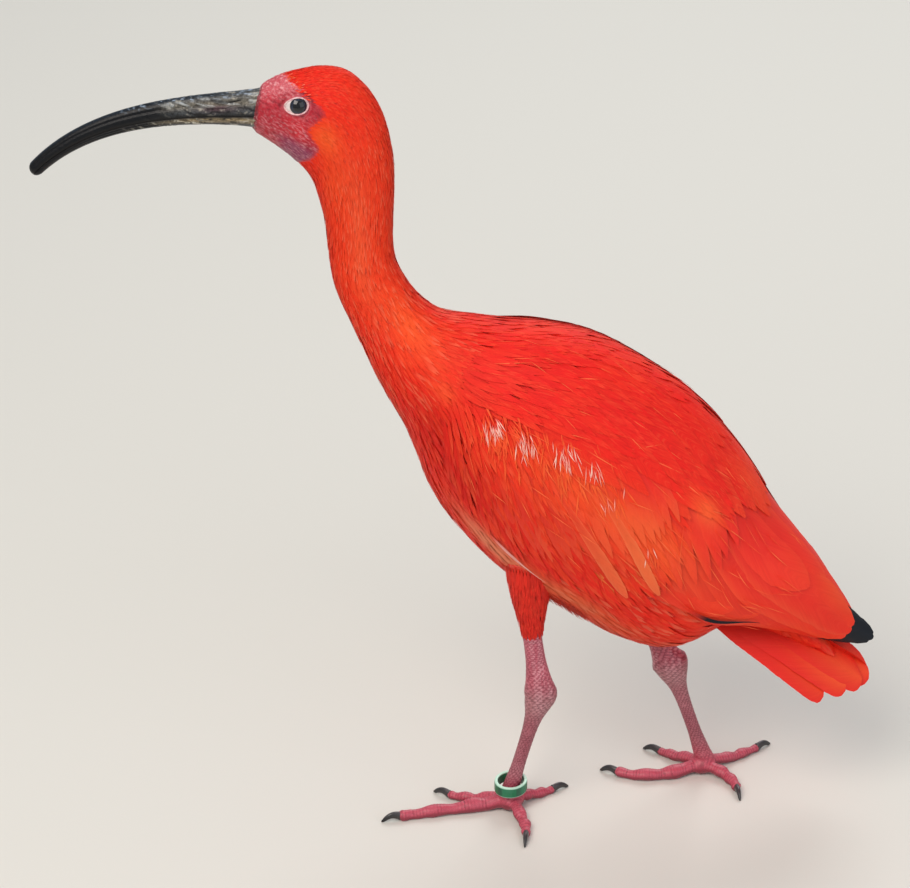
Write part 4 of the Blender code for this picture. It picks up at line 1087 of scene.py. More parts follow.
def tailColours(vane):
    # Clean scarlet, with an orange glow along the shafts towards the ends
    pick, tone, warm = vane["each"]
    colour = filled("#E6261A", vane["points"]) * (0.92 + 0.12 * tone)[..., None]
    glow = smoothStep(vane["share"], 0.45, 0.95) * (1 - np.abs(vane["across"]))
    return mix(colour, srgb("#F55A28"), glow * (0.35 + 0.5 * warm))


featherPiece(
    "tail_vanes", tailVanes(np.random.default_rng(5)), vaneFinish, "flight_feathers", "tail")
tailSurface = bodySurface(tailCore)
tailCoat = breastCoat | {
    "t": (-0.5, 2.2), "phi": ((60, 180), (-180, -60)), "length": ((0, 24), (3, 16)),
    "halfWidth": ((0, 3.2), (3, 2.6)), "seed": 18, "levels": (-1.5, 0.2), "ringsBefore": 22,
    "cover": 3.0, "pale": 0.3}
bodyCoat("tail_coverts", tailCoat, ["tail"], tailSurface, "flight_feathers")
rows, columns = 40, 48
t, phi = grid(np.linspace(0, 3, rows), columns)
places = tailSurface.point(t, phi, -0.8)
bake = np.stack([t / 3, phi / 360], -1).reshape(-1, 2)
core = makePiece(
    "tail_core", places.reshape(-1, 3), ringFaces(1, rows, columns), [silkFinish],
    {"OFBake": bake, "barbs": places.reshape(-1, 3)[:, ::2]},
    gridPaint(plumage(t + 22, phi, places)))
settle(core, "flight_feathers", "tail")
print("tail ready")


# Legs and feet

legs = {
    "left": {
        "knee": (44.0, -25.0, 178.0), "bare": (47.0, -21.0, 121.0), "hock": (52.6, -20.0, 79.0),
        "ankle": (34.4, -23.9, 13.2), "swell": 1.0,
        "toes": {
            "middle": ((33.5, -24.0), (-3.0, -31.5), (-35.0, -39.0), 4.3),
            "inner": ((31.0, -21.0), (10.0, -18.5), (-4.5, -12.5), 3.7),
            "outer": ((35.0, -27.0), (42.0, -44.0), (43.5, -60.0), 3.8),
            "hind": ((37.0, -21.5), (51.0, -13.0), (62.0, -6.0), 3.4)}},
    "right": {
        "knee": (82.0, 25.0, 168.0), "bare": (121.0, 16.5, 105.0), "hock": (133.6, 14.0, 81.5),
        "ankle": (155.9, 19.3, 13.2), "swell": 1.13,
        "toes": {
            "middle": ((156.0, 19.5), (126.0, 9.0), (101.0, 14.0), 4.3),
            "inner": ((158.0, 16.0), (171.0, 7.0), (176.5, -6.5), 3.8),
            "outer": ((153.0, 22.0), (140.0, 32.0), (129.0, 39.5), 3.7),
            "hind": ((160.0, 22.0), (177.0, 32.0), (193.0, 44.0), 3.4)}}}
# Half depth and half width at shares of the way down each part
thighSizes = ((0.0, 15.5, 13.0), (0.45, 12.4, 11.0), (0.75, 9.0, 8.4), (1.0, 6.5, 5.9))
shankSizes = ((0.0, 5.9, 5.1), (0.4, 6.2, 5.0), (0.72, 7.9, 5.7), (0.9, 9.8, 6.5), (1.0, 10.1, 6.7))
tarsusSizes = (
    (0.1, 8.4, 6.1), (0.24, 5.6, 4.6), (0.42, 4.4, 3.8), (0.72, 4.2, 3.7), (0.9, 5.0, 4.6),
    (1.0, 5.7, 5.3), (1.1, 7.0, 6.6))
foot = {
    "pad": (8.6, 8.0, 6.4), "padHeight": 5.6, "taper": (1.08, 0.34), "joints": 0.1, "down": (2, 20),
    "lift": 0.86, "voxel": 0.76, "scale": 1.8, "scaleHeight": 0.2, "scute": 1.9,
    "scuteHeight": 0.25, "cells": 12}


def legSurface(places, sizes, swell):
    # Ovals down a leg through rows of place, half depth and half width, wider at the hock by swell
    rows = np.array([
        (*(np.array(start) + (np.array(end) - start) * share), depth, width)
        for (start, end), part in zip(places, sizes) for share, depth, width in part])
    near = bell((rows[:, 2] - places[1][1][2]) / 14)
    rows[:, 3:] *= (1 + (swell - 1) * near)[:, None]
    read = readRows(rows, np.linspace(0, len(rows) - 1, (len(rows) - 1) * 6 + 1))
    tops = np.broadcast_to(np.array((-1.0, 0, 0)), (len(read), 3))
    return Surface(read[:, :3], tops, read[:, 3], read[:, 4])


def toeLine(toe):
    # A smooth bend from the foot through the toe's middle place to its end
    start, bend, end = (np.array(place) for place in toe[:3])
    share = np.linspace(0, 1, 160)[:, None]
    middle = 2 * bend - 0.5 * (start + end)
    return (1 - share) ** 2 * start + 2 * share * (1 - share) * middle + share**2 * end


def toeLength(toe):
    # The sum of the line's short steps
    return np.linalg.norm(np.diff(toeLine(toe), axis=0), axis=1).sum()


def toeSize(toe, at):
    # Half the toe's thickness: a taper, with a wave that swells at its joints
    start, loss = foot["taper"]
    share = at / toeLength(toe)
    return toe[3] * (start - loss * share + foot["joints"] * np.cos(share * 6 * np.pi))


def toeCentre(toe, at):
    # The toe's middle at distances along it: it comes down from the foot and lies on the floor
    line = toeLine(toe)
    gone = np.concatenate([[0], np.cumsum(np.linalg.norm(np.diff(line, axis=0), axis=1))])
    past = line[-1] + (line[-1] - line[-2]) / (gone[-1] - gone[-2]) * (at - gone[-1])[:, None]
    flat = np.stack([np.interp(at, gone, line[:, k]) for k in (0, 1)], 1)
    flat = np.where((at > gone[-1])[:, None], past, flat)
    down = smoothStep(at, *foot["down"])
    size = toeSize(toe, np.minimum(at, gone[-1]))
    rise = foot["padHeight"] * (1 - down) + size * foot["lift"] * down
    return np.concatenate([flat, rise[:, None]], 1)


def ovalTube(centres, depths, widths, top, columns):
    # Rings round a path: depth along the way of top, width across it and the path
    along = unit(np.gradient(centres, axis=0))
    tops = np.broadcast_to(np.array(top, float), centres.shape)
    tops = unit(tops - along * (tops * along).sum(-1, keepdims=True))
    lefts = np.cross(along, tops)
    turn = np.arange(columns) * 2 * np.pi / columns
    return (
        centres[:, None] + tops[:, None] * (depths[:, None] * np.cos(turn))[..., None]
        + lefts[:, None] * (widths[:, None] * np.sin(turn))[..., None])


def remeshed(tubes, voxel, smoothing):
    # One closed skin round several tubes that run into each other
    points, faces, total = [], [], 0
    for tube in tubes:
        faces += [group + total for group in ringFaces(1, *tube.shape[:2])]
        points.append(tube.reshape(-1, 3))
        total += len(points[-1])
    draft = makePiece("draft", np.concatenate(points), faces, [])
    modifier = draft.modifiers.new("join", "REMESH")
    modifier.mode, modifier.voxel_size = "VOXEL", voxel * mm
    modifier = draft.modifiers.new("ease", "SMOOTH")
    modifier.factor, modifier.iterations = 0.5, smoothing
    bpy.context.view_layer.update()
    made = draft.evaluated_get(bpy.context.evaluated_depsgraph_get()).to_mesh()
    points, normals = (np.empty(len(made.vertices) * 3, np.float32) for _ in range(2))
    made.vertices.foreach_get("co", points)
    made.vertices.foreach_get("normal", normals)
    corners = np.empty(len(made.loops), np.int32)
    made.loops.foreach_get("vertex_index", corners)
    assert len(corners) == 4 * len(made.polygons)
    bpy.data.objects.remove(draft)
    points = (points.reshape(-1, 3) - origin) / mm
    return points, normals.reshape(-1, 3).astype(float), corners.reshape(-1, 4)


def hexagons(first, second):
    # 1 at the middle of each six-sided cell of width 1 and 0 at its edge
    values = []
    for shift in (0.0, 0.5):
        a = first - np.round(first - shift) - shift
        b = (second - 2 * shift * 0.866) / 1.732
        b = (b - np.round(b)) * 1.732
        values.append(np.maximum(np.abs(a) * 2, np.abs(a) + np.abs(b) * 1.732))
    return 1 - np.minimum(*values)


legSkins = []
for sideName, leg in legs.items():
    knee, bare, hock, ankle = (np.array(leg[place]) for place in ("knee", "bare", "hock", "ankle"))
    surface = legSurface(
        ((knee, bare), (bare, hock), (hock, ankle)), (thighSizes, shankSizes, tarsusSizes),
        leg["swell"])
    t, phi = grid(np.linspace(0.0, surface.last, 150), 40)
    tubes = [surface.flat(t, phi, -1.8 * (1 - smoothStep(t, 14, 19)))]
    turn = np.linspace(0, np.pi, 24)
    padDepth, padWidth, padTall = foot["pad"]
    centres = np.stack(
        [ankle[0] + 0 * turn, ankle[1] + 0 * turn, foot["padHeight"] - padTall * np.cos(turn)], 1)
    pad = ovalTube(
        centres, padDepth * np.sin(turn) + 0.01, padWidth * np.sin(turn) + 0.01, (-1, 0, 0), 32)
    tubes.append(pad)
    joints, scutes = [], []
    for toe in leg["toes"].values():
        at = np.linspace(0, toeLength(toe), 70)
        size = toeSize(toe, at)
        end = np.sqrt(np.clip((toeLength(toe) + 0.6 - at) / 3.0, 0.02, 1))
        centre = toeCentre(toe, at)
        tubes.append(ovalTube(centre, size * end, size * 1.04 * end, (0, 0, 1), 28))
        joints.append(centre)
        scutes.append(at)
    for tube in tubes:
        tube[..., 2] = np.maximum(tube[..., 2], 0.0)
    points, normals, quads = remeshed(tubes, foot["voxel"], 4)
    # Scales: scutes across the tops of the toes, and six-sided ones round the leg
    centre, at = np.concatenate(joints), np.concatenate(scutes)
    flatWay = ((points[:, None, :2] - centre[None, :, :2]) ** 2).sum(-1)
    near = flatWay.argmin(1)
    onToe = 1 - smoothStep(points[:, 2], 10, 14)
    step = (at[near] + 0.35 * noise(points, 6, 2)) / foot["scute"]
    scute = np.abs(np.sin(np.pi * step)) ** 0.6 * smoothStep(normals[:, 2], -0.2, 0.4)
    low = np.where(points[:, 2] < hock[2], ankle[2], bare[2])
    share = np.clip((points[:, 2] - hock[2]) / (low - hock[2]), 0, 1.2)
    axis = hock + (np.where((points[:, 2] < hock[2])[:, None], ankle, bare) - hock) * share[:, None]
    angle = np.arctan2(points[:, 1] - axis[:, 1], -(points[:, 0] - axis[:, 0]))
    cells = foot["cells"]
    wobble = 0.45 * np.stack([noise(points, 5, 7), noise(points, 5, 8)], -1)
    scale = hexagons(
        angle * cells / (2 * np.pi) + wobble[:, 0], points[:, 2] / foot["scale"] + wobble[:, 1])
    scale = np.clip(scale * 2.2, 0, 1)
    relief = onToe * scute * foot["scuteHeight"] + (1 - onToe) * scale * foot["scaleHeight"]
    points = points + normals * (relief - 0.12)[:, None]
    points[:, 2] = np.maximum(points[:, 2], 0.0)
    raised = onToe * scute + (1 - onToe) * scale
    points = points + normals * (0.45 * onToe * noise(points, 4.5, 12))[:, None]
    points[:, 2] = np.maximum(points[:, 2], 0.0)
    height = points[:, 2]
    cloud = noise(points, 9, 5) * 0.5 + 0.5
    # A few random raised scales get a painted glint
    scaleGlint = (hashed(np.floor(step) + np.floor(angle * cells / 6.28) * 7, 3) > 0.7) * raised
    under = 1 - smoothStep(normals[:, 2], -0.9, -0.3)
    paint = layered(
        filled("#9A4654", points), ("#C8425A", (1 - smoothStep(height, 8, 30)) * 0.8),
        ("#C0405A", smoothStep(height, 78, 92) * (0.35 + 0.65 * cloud)),
        ("#A87476", bell((height - 73) / 9) * 0.6))
    # The grooves between scales are darkened as painted shade, and raised scales carry pale flecks
    # as painted highlights. Under its feathers the thigh is as red as they are
    flecks = (0.3 - 0.2 * onToe) * raised**2 * (0.3 + 0.9 * cloud)
    flecks = flecks + (0.28 - 0.18 * onToe) * scaleGlint * smoothStep(height, 60, 84)
    paint = layered(
        paint * (0.52 + 0.48 * raised)[:, None], ("#E0A8B0", flecks),
        ("#B4707A", under * onToe * 0.5),
        ("#D8301A", smoothStep(height, bare[2] + 7, bare[2] + 13)))
    legSkins.append((points, quads, paint))

    thighCoat = {
        "t": (0.2, 14.6), "phi": ((-180, 180),), "length": ((0, 14), (18, 8)),
        "halfWidth": ((0, 1.2), (18, 0.7)), "cover": 3.2, "lie": 0, "stray": 4, "rows": 5,
        "levels": (-1.2, 0.15), "shape": pointedVane, "ring": triRing, "crown": 0.2, "thick": 0.0,
        "fray": 0.1, "barbAngle": 12, "seed": 19, "orange": 0.1, "pale": 0.1}

    def thighColours(vane, settings):
        # The deep red low on the body, brighter or darker on each feather
        colour = plumage(17.0 + 0 * vane["t"], 120 + 0 * vane["t"], vane["points"])
        return mix(colour, srgb("#DA2E20"), 0.5) * (0.85 + 0.3 * vane["each"][1])[..., None]

    bodyCoat(
        "coat_thigh_" + sideName, thighCoat, ["thigh_" + sideName], surface, "plumage",
        thighColours)

    clawGrids = []
    for toe in leg["toes"].values():
        share = np.linspace(0, 1, 22)
        at = toeLength(toe) - 1.6 + share * 12.4
        size = 2.25 * np.sqrt(1 - share) + 0.22
        centre = toeCentre(toe, at)
        centre[:, 2] = toe[3] * 0.66 * (1 - share**2.2) + 1.7 * np.sin(share * np.pi)
        centre[:, 2] = np.maximum(centre[:, 2], size * 1.12 + 0.05)
        clawGrids.append(ovalTube(centre, size * 1.12, size * 0.82, (0, 0, 1), 16))
    clawGrids = np.array(clawGrids)
    ridge = np.cos(np.arange(16) * 2 * np.pi / 16)
    shade = np.linspace(0, 1, 22)[None, :, None] + 0 * clawGrids[..., 0]
    # The paler line along the top of each claw is a painted highlight
    paint = layered(
        filled("#3A3638", clawGrids), ("#121214", shade),
        ("#6E6468", 0.35 * np.clip(ridge, 0, 1) ** 4 * (1 - shade)))
    claws = makePiece(
        "claws_" + sideName, clawGrids.reshape(-1, 3), ringFaces(4, 22, 16), [clawHorn],
        paint=gridPaint(paint))
    settle(claws, "claw", *[f"claw_{toe}_{sideName}" for toe in leg["toes"]])
print("legs ready")


# Head and body skin

eye = {
    "centre": (-90.4, 9.6, 464.0), "sunk": 1.2, "radius": 7.6, "faces": (-0.16, 1.0, 0.22),
    "tilt": -7, "halfLength": 7.1, "halfHeight": 4.7, "gazeBack": 2.2, "irisRadius": 4.7,
    "pupilRadius": 3.0, "lidThick": 0.5, "widest": 52, "flattest": 4.5}
skinMesh = {"faceRows": 112, "faceEnd": 6.6, "bodyRows": 56, "columns": 216}


def eyeWays(side):
    # The way the eye looks, the way to its front corner, the way up its lids, and its centre
    out = unit(np.array(eye["faces"]) * (1, -side, 1))
    forward = np.array((-1.0, 0, np.sin(np.radians(eye["tilt"]))))
    forward = unit(forward - out * (forward @ out))
    up = np.cross(out, forward)
    centre = np.array(eye["centre"]) * (1, -side, 1) - out * eye["sunk"]
    return out, forward, up * np.sign(up[2]), centre


def ballHeight(along, up):
    # How far the eyeball stands out over a place beside its middle, by Pythagoras
    past = np.minimum(along**2 + up**2, eye["widest"])
    return np.sqrt(np.maximum(eye["radius"] ** 2 - past, eye["flattest"]))


def almond(turn):
    # The lids' opening: pointed at the front corner, round at the back
    long = eye["halfLength"] * np.cos(turn)
    tall = eye["halfHeight"] * np.sin(turn) * (1 - 0.24 * np.cos(turn))
    return long, tall * np.abs(np.sin(turn)) ** 0.12


def skinGrid():
    # The body's surface, sunk a little under its feathers, with wrinkles and raised lids
    t = np.concatenate([
        np.linspace(0, skinMesh["faceEnd"], skinMesh["faceRows"]),
        np.linspace(skinMesh["faceEnd"], body.last, skinMesh["bodyRows"])[1:]])
    t, phi = grid(t, skinMesh["columns"])
    bare = bareShare(t, phi)
    depth = np.interp(t, (0, 4, 8, 14, 18, 23), (0.35, 0.45, 0.6, 0.8, 1.0, 1.0)) * (1 - bare)
    depth = depth + 1.2 * (1 - smoothStep(t, 0, 0.5))
    points = body.point(t, phi, -depth)
    normals = body.normal(t, phi)
    # Fine wrinkles run back from the bill over the bare face, and grainy bumps cover its throat
    stretched = np.stack(
        [points[..., 0] * 0.3, points[..., 1], points[..., 2] + points[..., 0] * 0.6], -1)
    wrinkle = noise(stretched, 1.15, 1) * 0.6 + noise(points, 0.95, 2) * 0.4
    points = points + normals * (bare * 0.34 * wrinkle)[..., None]
    lids = 0 * t
    for side in sides.values():
        out, forward, up, centre = eyeWays(side)
        local = points - centre
        a, b, c = local @ forward, local @ up, local @ out
        edge = np.hypot(
            a / eye["halfLength"], b / (eye["halfHeight"] * (1 - 0.2 * a / eye["halfLength"])))
        ball = ballHeight(a, b)
        close = (c > 0) & (edge < 2.4)
        rim = np.where(edge < 1, ball - 2.6 * smoothStep(1 - edge, 0.02, 0.2), ball + 0.25)
        share = np.where(close, 1 - smoothStep(edge, 1.0, 1.75), 0)
        points = points + out * ((rim - c) * share)[..., None]
        # Small folds ring the lids
        fold = bell((edge - 1.35) / 0.09) + 0.7 * bell((edge - 1.7) / 0.1)
        points = points - out * (np.where(close, fold, 0) * 0.35)[..., None]
        lids = np.maximum(lids, np.where(close, bell((edge - 1.1) / 0.16), 0))
    return t, phi, points, bare, wrinkle, lids


def facePaint(t, phi, points, bare, wrinkle, lids):
    # Crimson skin, pink and mealy on the forehead, purple and grainy at the throat
    around = np.abs((phi + 180) % 360 - 180)
    top = 1 - smoothStep(around, 36, 74)
    throat = smoothStep(around, 108, 126) * smoothStep(t, 1.8, 3.2)
    skin = layered(
        filled("#A8182A", points), ("#C44C58", top), ("#7C2C50", throat * 0.9),
        ("#C4222C", bell((t - 3.6) / 1.0, (around - 100) / 14) * 0.85),
        ("#C2283A", bell((t - 1.3) / 0.5, (around - 62) / 16) * 0.6),
        ("#EBB0B4", smoothStep(wrinkle, 0.12, 0.55) * (0.06 + 0.5 * top)),
        ("#740E1E", smoothStep(-wrinkle, 0.08, 0.5) * (0.6 - 0.35 * top)),
        # painted shade: a dark band where the skin tucks under the bill's base
        ("#3C2428", (1 - smoothStep(t, 0.15, 0.5)) * 0.6), ("#CC6674", lids * 0.5))
    # Pale folds show most below the eye and on the throat, and least before the eye
    folds = 0.2 + 0.22 * smoothStep(around, 86, 104) + 0.14 * top - 0.16 * bell((around - 74) / 9)
    colour = mix(plumage(t, phi, points) * 0.92, skin, bare)
    return np.concatenate([colour, (folds * bare**2)[..., None]], -1)


t, phi, points, bare, wrinkle, lids = skinGrid()
paint = facePaint(t, phi, points, bare, wrinkle, lids)
skinPoints, skinPaint = [points.reshape(-1, 3)], [paint.reshape(-1, 4)]
skinFaces = ringFaces(1, *points.shape[:2])
slots = [np.zeros(len(group), int) for group in skinFaces]
total = len(skinPoints[0])
for side in sides.values():
    out, forward, up, centre = eyeWays(side)
    turn = np.linspace(0, 2 * np.pi, 96, endpoint=False)
    long, tall = almond(turn)
    ball = ballHeight(long, tall) + 0.2
    line = centre + long[:, None] * forward + tall[:, None] * up + ball[:, None] * out
    along = unit(np.roll(line, -1, 0) - np.roll(line, 1, 0))
    away = unit(np.cross(along, out))
    turn = np.arange(10) * 2 * np.pi / 10
    ring = (
        line[:, None] + away[:, None] * (eye["lidThick"] * np.cos(turn))[None, :, None]
        + np.cross(away, along)[:, None] * (eye["lidThick"] * np.sin(turn))[None, :, None])
    quads = loopFaces(96, 10)[:, ::side]
    skinFaces.append(quads + total)
    slots.append(np.zeros(len(quads), int))
    skinPoints.append(ring.reshape(-1, 3))
    pale = layered(
        filled("#EED8D4", skinPoints[-1]), ("#D88E98", noise(skinPoints[-1], 1.2, 6) * 0.5 + 0.5))
    skinPaint.append(opaque(pale) * (1, 1, 1, 0))
    total += len(skinPoints[-1])
for legPoints, quads, legPaint in legSkins:
    skinFaces.append(quads + total)
    slots.append(np.ones(len(quads), int))
    skinPoints.append(legPoints)
    skinPaint.append(opaque(legPaint))
    total += len(legPoints)
skin = makePiece(
    "skin", np.concatenate(skinPoints), skinFaces, [faceSkin, scaleSkin],
    paint=np.concatenate(skinPaint), slots=np.concatenate(slots))
legNodes = [
    f"{part}_{side}"
    for side in sides
    for part in (
        "thigh", "shank", "tarsus", "foot", "toe_middle", "toe_inner", "toe_outer", "toe_hind")]
settle(skin, "leg_skin", "head", "neck_upper", "neck_middle", "neck_lower", "torso", *legNodes)
print("skin ready:", sum(len(group) * (group.shape[1] - 2) for group in skinFaces), "triangles")

for sideName, side in sides.items():
    # A ball turned to its gaze: the angle from it gives pupil, iris, dark rim and the white
    out, forward, up, centre = eyeWays(side)
    gaze = unit(out * eye["radius"] - forward * eye["gazeBack"])
    lean, turn = grid(np.linspace(0.01, np.pi - 0.01, 96), 96, 2 * np.pi)
    first = unit(forward - gaze * (forward @ gaze))
    second = np.cross(gaze, first)
    away = eye["radius"] * np.sin(lean)
    inFront = lean < np.pi / 2
    bulge = 0.35 * np.exp(-(away / 4.0) ** 4) * inFront
    ways = (
        gaze * np.cos(lean)[..., None] + first * (np.sin(lean) * np.cos(turn))[..., None]
        + second * (np.sin(lean) * np.sin(turn))[..., None])
    points = centre + ways * (eye["radius"] + bulge)[..., None]
    flecks = noise(np.stack([turn * 9, away * 0.8, 0 * away], -1), 1.0, 8)
    iris = layered(filled("#141A2A", points), ("#2C3A52", np.clip(flecks, 0, 1) * 0.6))
    white = layered(filled("#E4DCDA", points), ("#C8A6A4", noise(points, 2.2, 4) * 0.3 + 0.3))
    pupil, rim = eye["pupilRadius"], eye["irisRadius"]
    colour = layered(
        filled("#040406", points), (iris, smoothStep(away, pupil, pupil + 0.3)),
        ("#0A0C12", smoothStep(away, rim - 0.7, rim - 0.1)),
        (white, np.where(inFront, smoothStep(away, rim, rim + 0.35), 1)))
    ball = makePiece(
        "eyeball_" + sideName, points.reshape(-1, 3), ringFaces(1, 96, 96), [wetEye],
        paint=gridPaint(colour))
    settle(ball, "eye", "eye_" + sideName)


# Bill

bill = {
    "length": 141.5, "root": 2.4, "heights": {"upper": (15.8, 5.0), "lower": (9.4, 3.6)},
    "taper": {"upper": 0.66, "lower": 0.36}, "halfWidth": (7.1, 3.7), "tipStart": 0.966,
    "tipLength": 0.035, "lineDrop": 2.9, "drop": 47.5, "curl": 1.95, "nostril": (13.4, 9.4),
    "nostrilSize": (4.4, 0.8), "rows": 380, "columns": 100}


def billHalf(which):
    # An arch over the line of the mouth, or the shallower trough under it, carried along that line
    steps = 400
    fine = np.linspace(0, 1, steps + 1)
    heading = np.radians(bill["drop"] * fine ** bill["curl"])
    step = bill["length"] / steps
    baseX, baseZ, lean = flesh["billBase"][:3]
    lineX = baseX + bill["root"] - np.concatenate([[0], np.cumsum(np.cos(heading[:-1]) * step)])
    lineZ = baseZ - bill["lineDrop"] - np.concatenate([[0], np.cumsum(np.sin(heading[:-1]) * step)])
    share, turn = np.meshgrid(
        np.linspace(0, 1, bill["rows"]) ** 0.9, np.linspace(0, np.pi, bill["columns"]),
        indexing="ij")
    angle = np.interp(share, fine, heading)
    past = np.clip((share - bill["tipStart"]) / bill["tipLength"], 0, 1)
    tip = np.sqrt(np.maximum(1 - past**2, 0.02))
    base, end = bill["heights"][which]
    height = (base + (end - base) * share ** bill["taper"][which]) * tip
    base, end = bill["halfWidth"]
    width = (base + (end - base) * share**0.7) * tip
    upper = which == "upper"
    edge = np.minimum(turn, np.pi - turn)
    # A groove runs from the nostril to the tip, and the cutting edge rolls in
    if upper:
        groove = 0.11 * bell((edge - 0.66) / 0.11) * (1 - 0.5 * share)
    else:
        groove = 0.08 * bell((edge - 0.5) / 0.12) * (1 - smoothStep(share, 0.5, 0.9))
    shrink = 1 - groove - 0.09 * bell(edge / 0.14)
    sign = 1 if upper else -1
    away = np.stack([-np.sin(angle), 0 * angle, np.cos(angle)], -1) * sign
    line = np.stack([np.interp(share, fine, lineX), 0 * share, np.interp(share, fine, lineZ)], -1)
    points = (
        line + away * (0.15 + height * np.sin(turn) * shrink)[..., None]
        + np.array((0, 1.0, 0)) * (width * np.cos(turn) * shrink)[..., None])
    over = points[..., 2] - baseZ
    points[..., 0] += over / np.tan(np.radians(lean)) * (1 - smoothStep(share, 0, 0.2))
    # Growth plates and flakes near the base
    rough = 1 - smoothStep(share, 0.25, 0.7)
    flow = np.stack(
        [points[..., 0] * 0.22, points[..., 1], points[..., 2] + 0.5 * angle * points[..., 0]], -1)
    plates = noise(flow, 1.4, 5) * 0.6 + noise(points, 0.9, 6) * 0.4
    outwards = unit(points - line + 1e-6)
    relief = 0.16 * plates * (0.25 + rough)
    if upper:
        along, tall = bill["nostril"]
        past = lineX[0] - points[..., 0] - along
        over = points[..., 2] - line[..., 2] - tall + 0.2 * past
        slit = np.hypot(past / bill["nostrilSize"][0], over / bill["nostrilSize"][1])
        opening = 1 - smoothStep(slit, 0.7, 1.15)
        relief = relief - 1.1 * opening + 0.25 * bell((slit - 1.5) / 0.3)
    else:
        opening = 0 * share
    points = points + outwards * relief[..., None] * np.sin(turn)[..., None] ** 0.3
    # Grey-brown and mottled near the base, and blue-black from the middle to the tip
    tall, cloud = np.sin(turn), noise(flow, 4.0, 9)
    worn = 1 - smoothStep(share + 0.05 * cloud, 0.24, 0.46)
    paint = layered(filled("#05080E", points), ("#464A4E", worn))
    if upper:
        silver = smoothStep(noise(flow, 1.5, 10), 0.05, 0.3) * bell((tall - 0.72) / 0.2)
        glint = smoothStep(noise(flow, 0.9, 12), 0.2, 0.5) * smoothStep(tall, 0.7, 0.95)
        paint = layered(
            paint,
            ("#7A7262", worn * bell((tall - 0.62) / 0.2) * (0.7 + 0.3 * cloud)),
            ("#4A3038", bell((share - 0.16) / 0.07, (tall - 0.4) / 0.2) * 0.85),
            ("#B8BCBC", silver * worn * 0.7),
            ("#1A2430", smoothStep(tall, 0.84, 0.97) * smoothStep(share, 0.04, 0.2) * 0.85),
            ("#A4B6CC", glint * (1 - smoothStep(share, 0.4, 0.62)) * 0.6))
    else:
        paint = layered(
            paint,
            ("#A8946E", worn * (1 - smoothStep(tall, 0.3, 0.75)) * (0.7 + 0.3 * cloud)),
            ("#C8C4B4", smoothStep(plates, 0.1, 0.5) * (1 - smoothStep(share, 0.42, 0.6)) * 0.5),
            ("#2C2A2A", smoothStep(tall, 0.7, 0.95) * 0.7))
    paint = layered(
        paint, ("#C4BEB0", smoothStep(plates, 0.25, 0.5) * 0.42 * worn),
        ("#100E10", bell(noise(flow, 2.3, 14) / 0.06) * worn * 0.8),
        # Painted shade: the nostril's slit and the mouth line along the cutting edges are near
        # black
        ("#141214", smoothStep(-plates, 0.12, 0.35) * 0.65), ("#0C0B0D", opening * 0.95),
        ("#0A090A", bell(edge / 0.17) * 0.92))
    if not upper:
        points, paint = points[:, ::-1], paint[:, ::-1]
    piece = makePiece(
        "bill_horn_" + which, points.reshape(-1, 3), ringFaces(1, *points.shape[:2]), [billHorn],
        paint=gridPaint(paint))
    settle(piece, "bill", "bill_" + which)


billHalf("upper")
billHalf("lower")
print("head ready")


# Leg ring, loose round the left tarsus and leaning on the roots of the toes

band = {
    "radius": 10.2, "wall": 2.2, "height": 7.0, "at": (34.6, -24.0, 16.8), "tilt": (3, 4),
    "corners": 0.38, "around": 160, "section": 40}


def legRing():
    # A rounded section carried round a circle, scuffed a little, pale on its two rims
    around, section = band["around"], band["section"]
    turn, way = grid(np.arange(around) * 2 * np.pi / around, section, 2 * np.pi)
    halfWall, halfTall = band["wall"] / 2, band["height"] / 2
    side = np.sign(np.cos(way)) * np.abs(np.cos(way)) ** band["corners"]
    tall = np.sign(np.sin(way)) * np.abs(np.sin(way)) ** band["corners"]
    away = band["radius"] - halfWall + halfWall * side
    points = np.stack([away * np.cos(turn), away * np.sin(turn), halfTall * tall], -1)
    scuff = noise(points, 1.5, 3)
    points = points * (1 + 0.004 * scuff)[..., None]
    tiltX, tiltY = np.radians(band["tilt"])
    points[..., 2] += points[..., 0] * tiltX + points[..., 1] * tiltY
    points = points + np.array(band["at"])
    dark = np.clip(np.sin(turn * 5 + 0.6) * 3 - 1.4, 0, 1) * (side > 0.5)
    paint = layered(
        filled("#14724C", points), ("#BFE6D2", smoothStep(np.abs(tall), 0.72, 0.98)),
        ("#0C3C30", dark * 0.55 * (np.abs(tall) < 0.8)), ("#5E8A78", np.clip(scuff, 0, 1) * 0.2))
    quads = loopFaces(around, section)[:, (0, 3, 2, 1)]
    return makePiece(
        "leg_ring", points.reshape(-1, 3), [quads], [ringPlastic], paint=gridPaint(paint))


settle(legRing(), "band", "leg_band")
print("ring ready")


# Camera, floor and light

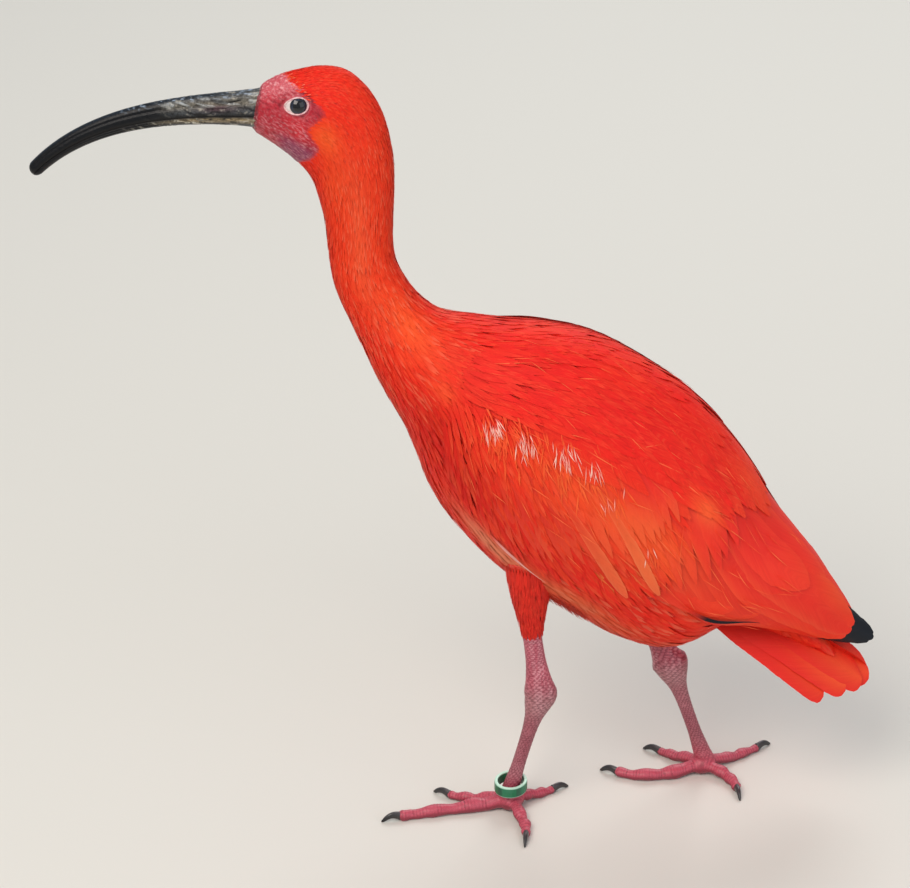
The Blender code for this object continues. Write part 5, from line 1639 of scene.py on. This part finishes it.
view = {"distance": 2400.0, "elevation": 27, "aim": (0, 0, 241.3), "lens": 36 * 4000 / 910}
tilt = np.radians(view["elevation"])
look = np.array((0, np.cos(tilt), -np.sin(tilt)))
camera = bpy.data.objects.new("camera", bpy.data.cameras.new("camera"))
camera.data.lens, camera.data.sensor_width, camera.data.sensor_fit = view["lens"], 36, "HORIZONTAL"
camera.location = (np.array(view["aim"]) - look * view["distance"]) * mm + origin
camera.rotation_euler = (np.pi / 2 - tilt, 0, 0)
bpy.context.scene.collection.objects.link(camera)
bpy.context.scene.camera = camera

floorSize = 12.0
floorMesh = bpy.data.meshes.new("floor")
half = floorSize / 2
floorMesh.from_pydata(
    [(-half, -half, 0), (half, -half, 0), (half, half, 0), (-half, half, 0)], [], [(0, 1, 2, 3)])
floor = bpy.data.objects.new("floor", floorMesh)
bpy.context.scene.collection.objects.link(floor)
paper, tree, shader = newMaterial("pale paper floor", Base_Color=rgba("#D9D7D0"), Roughness=0.85)
floorMesh.materials.append(paper)

lamps = {
    "key": {"at": (-0.9, -1.5, 2.2), "size": 1.6, "power": 46, "colour": "#FFF6EC"},
    "fill": {"at": (1.6, -1.6, 1.2), "size": 2.0, "power": 12, "colour": "#EAF1FF"},
    "back": {"at": (0.6, 1.8, 2.0), "size": 1.4, "power": 24, "colour": "#FFFFFF"},
}
for name, lamp in lamps.items():
    light = bpy.data.lights.new(name, "AREA")
    light.size, light.energy, light.color = lamp["size"], lamp["power"], srgb(lamp["colour"])
    lampObject = bpy.data.objects.new(name, light)
    lampObject.location = lamp["at"]
    aim = np.array((0, 0, 0.25)) - np.array(lamp["at"])
    across = np.hypot(aim[0], aim[1])
    lampObject.rotation_euler = (
        np.arctan2(across, -aim[2]), 0, np.arctan2(aim[1], aim[0]) - np.pi / 2)
    bpy.context.scene.collection.objects.link(lampObject)
world = bpy.context.scene.world or bpy.data.worlds.new("studio")
bpy.context.scene.world = world
world.use_nodes = True
world.node_tree.nodes["Background"].inputs["Color"].default_value = rgba("#E8EBEE")
world.node_tree.nodes["Background"].inputs["Strength"].default_value = 0.55
bpy.context.scene.view_settings.view_transform = "Standard"
print("stage ready")
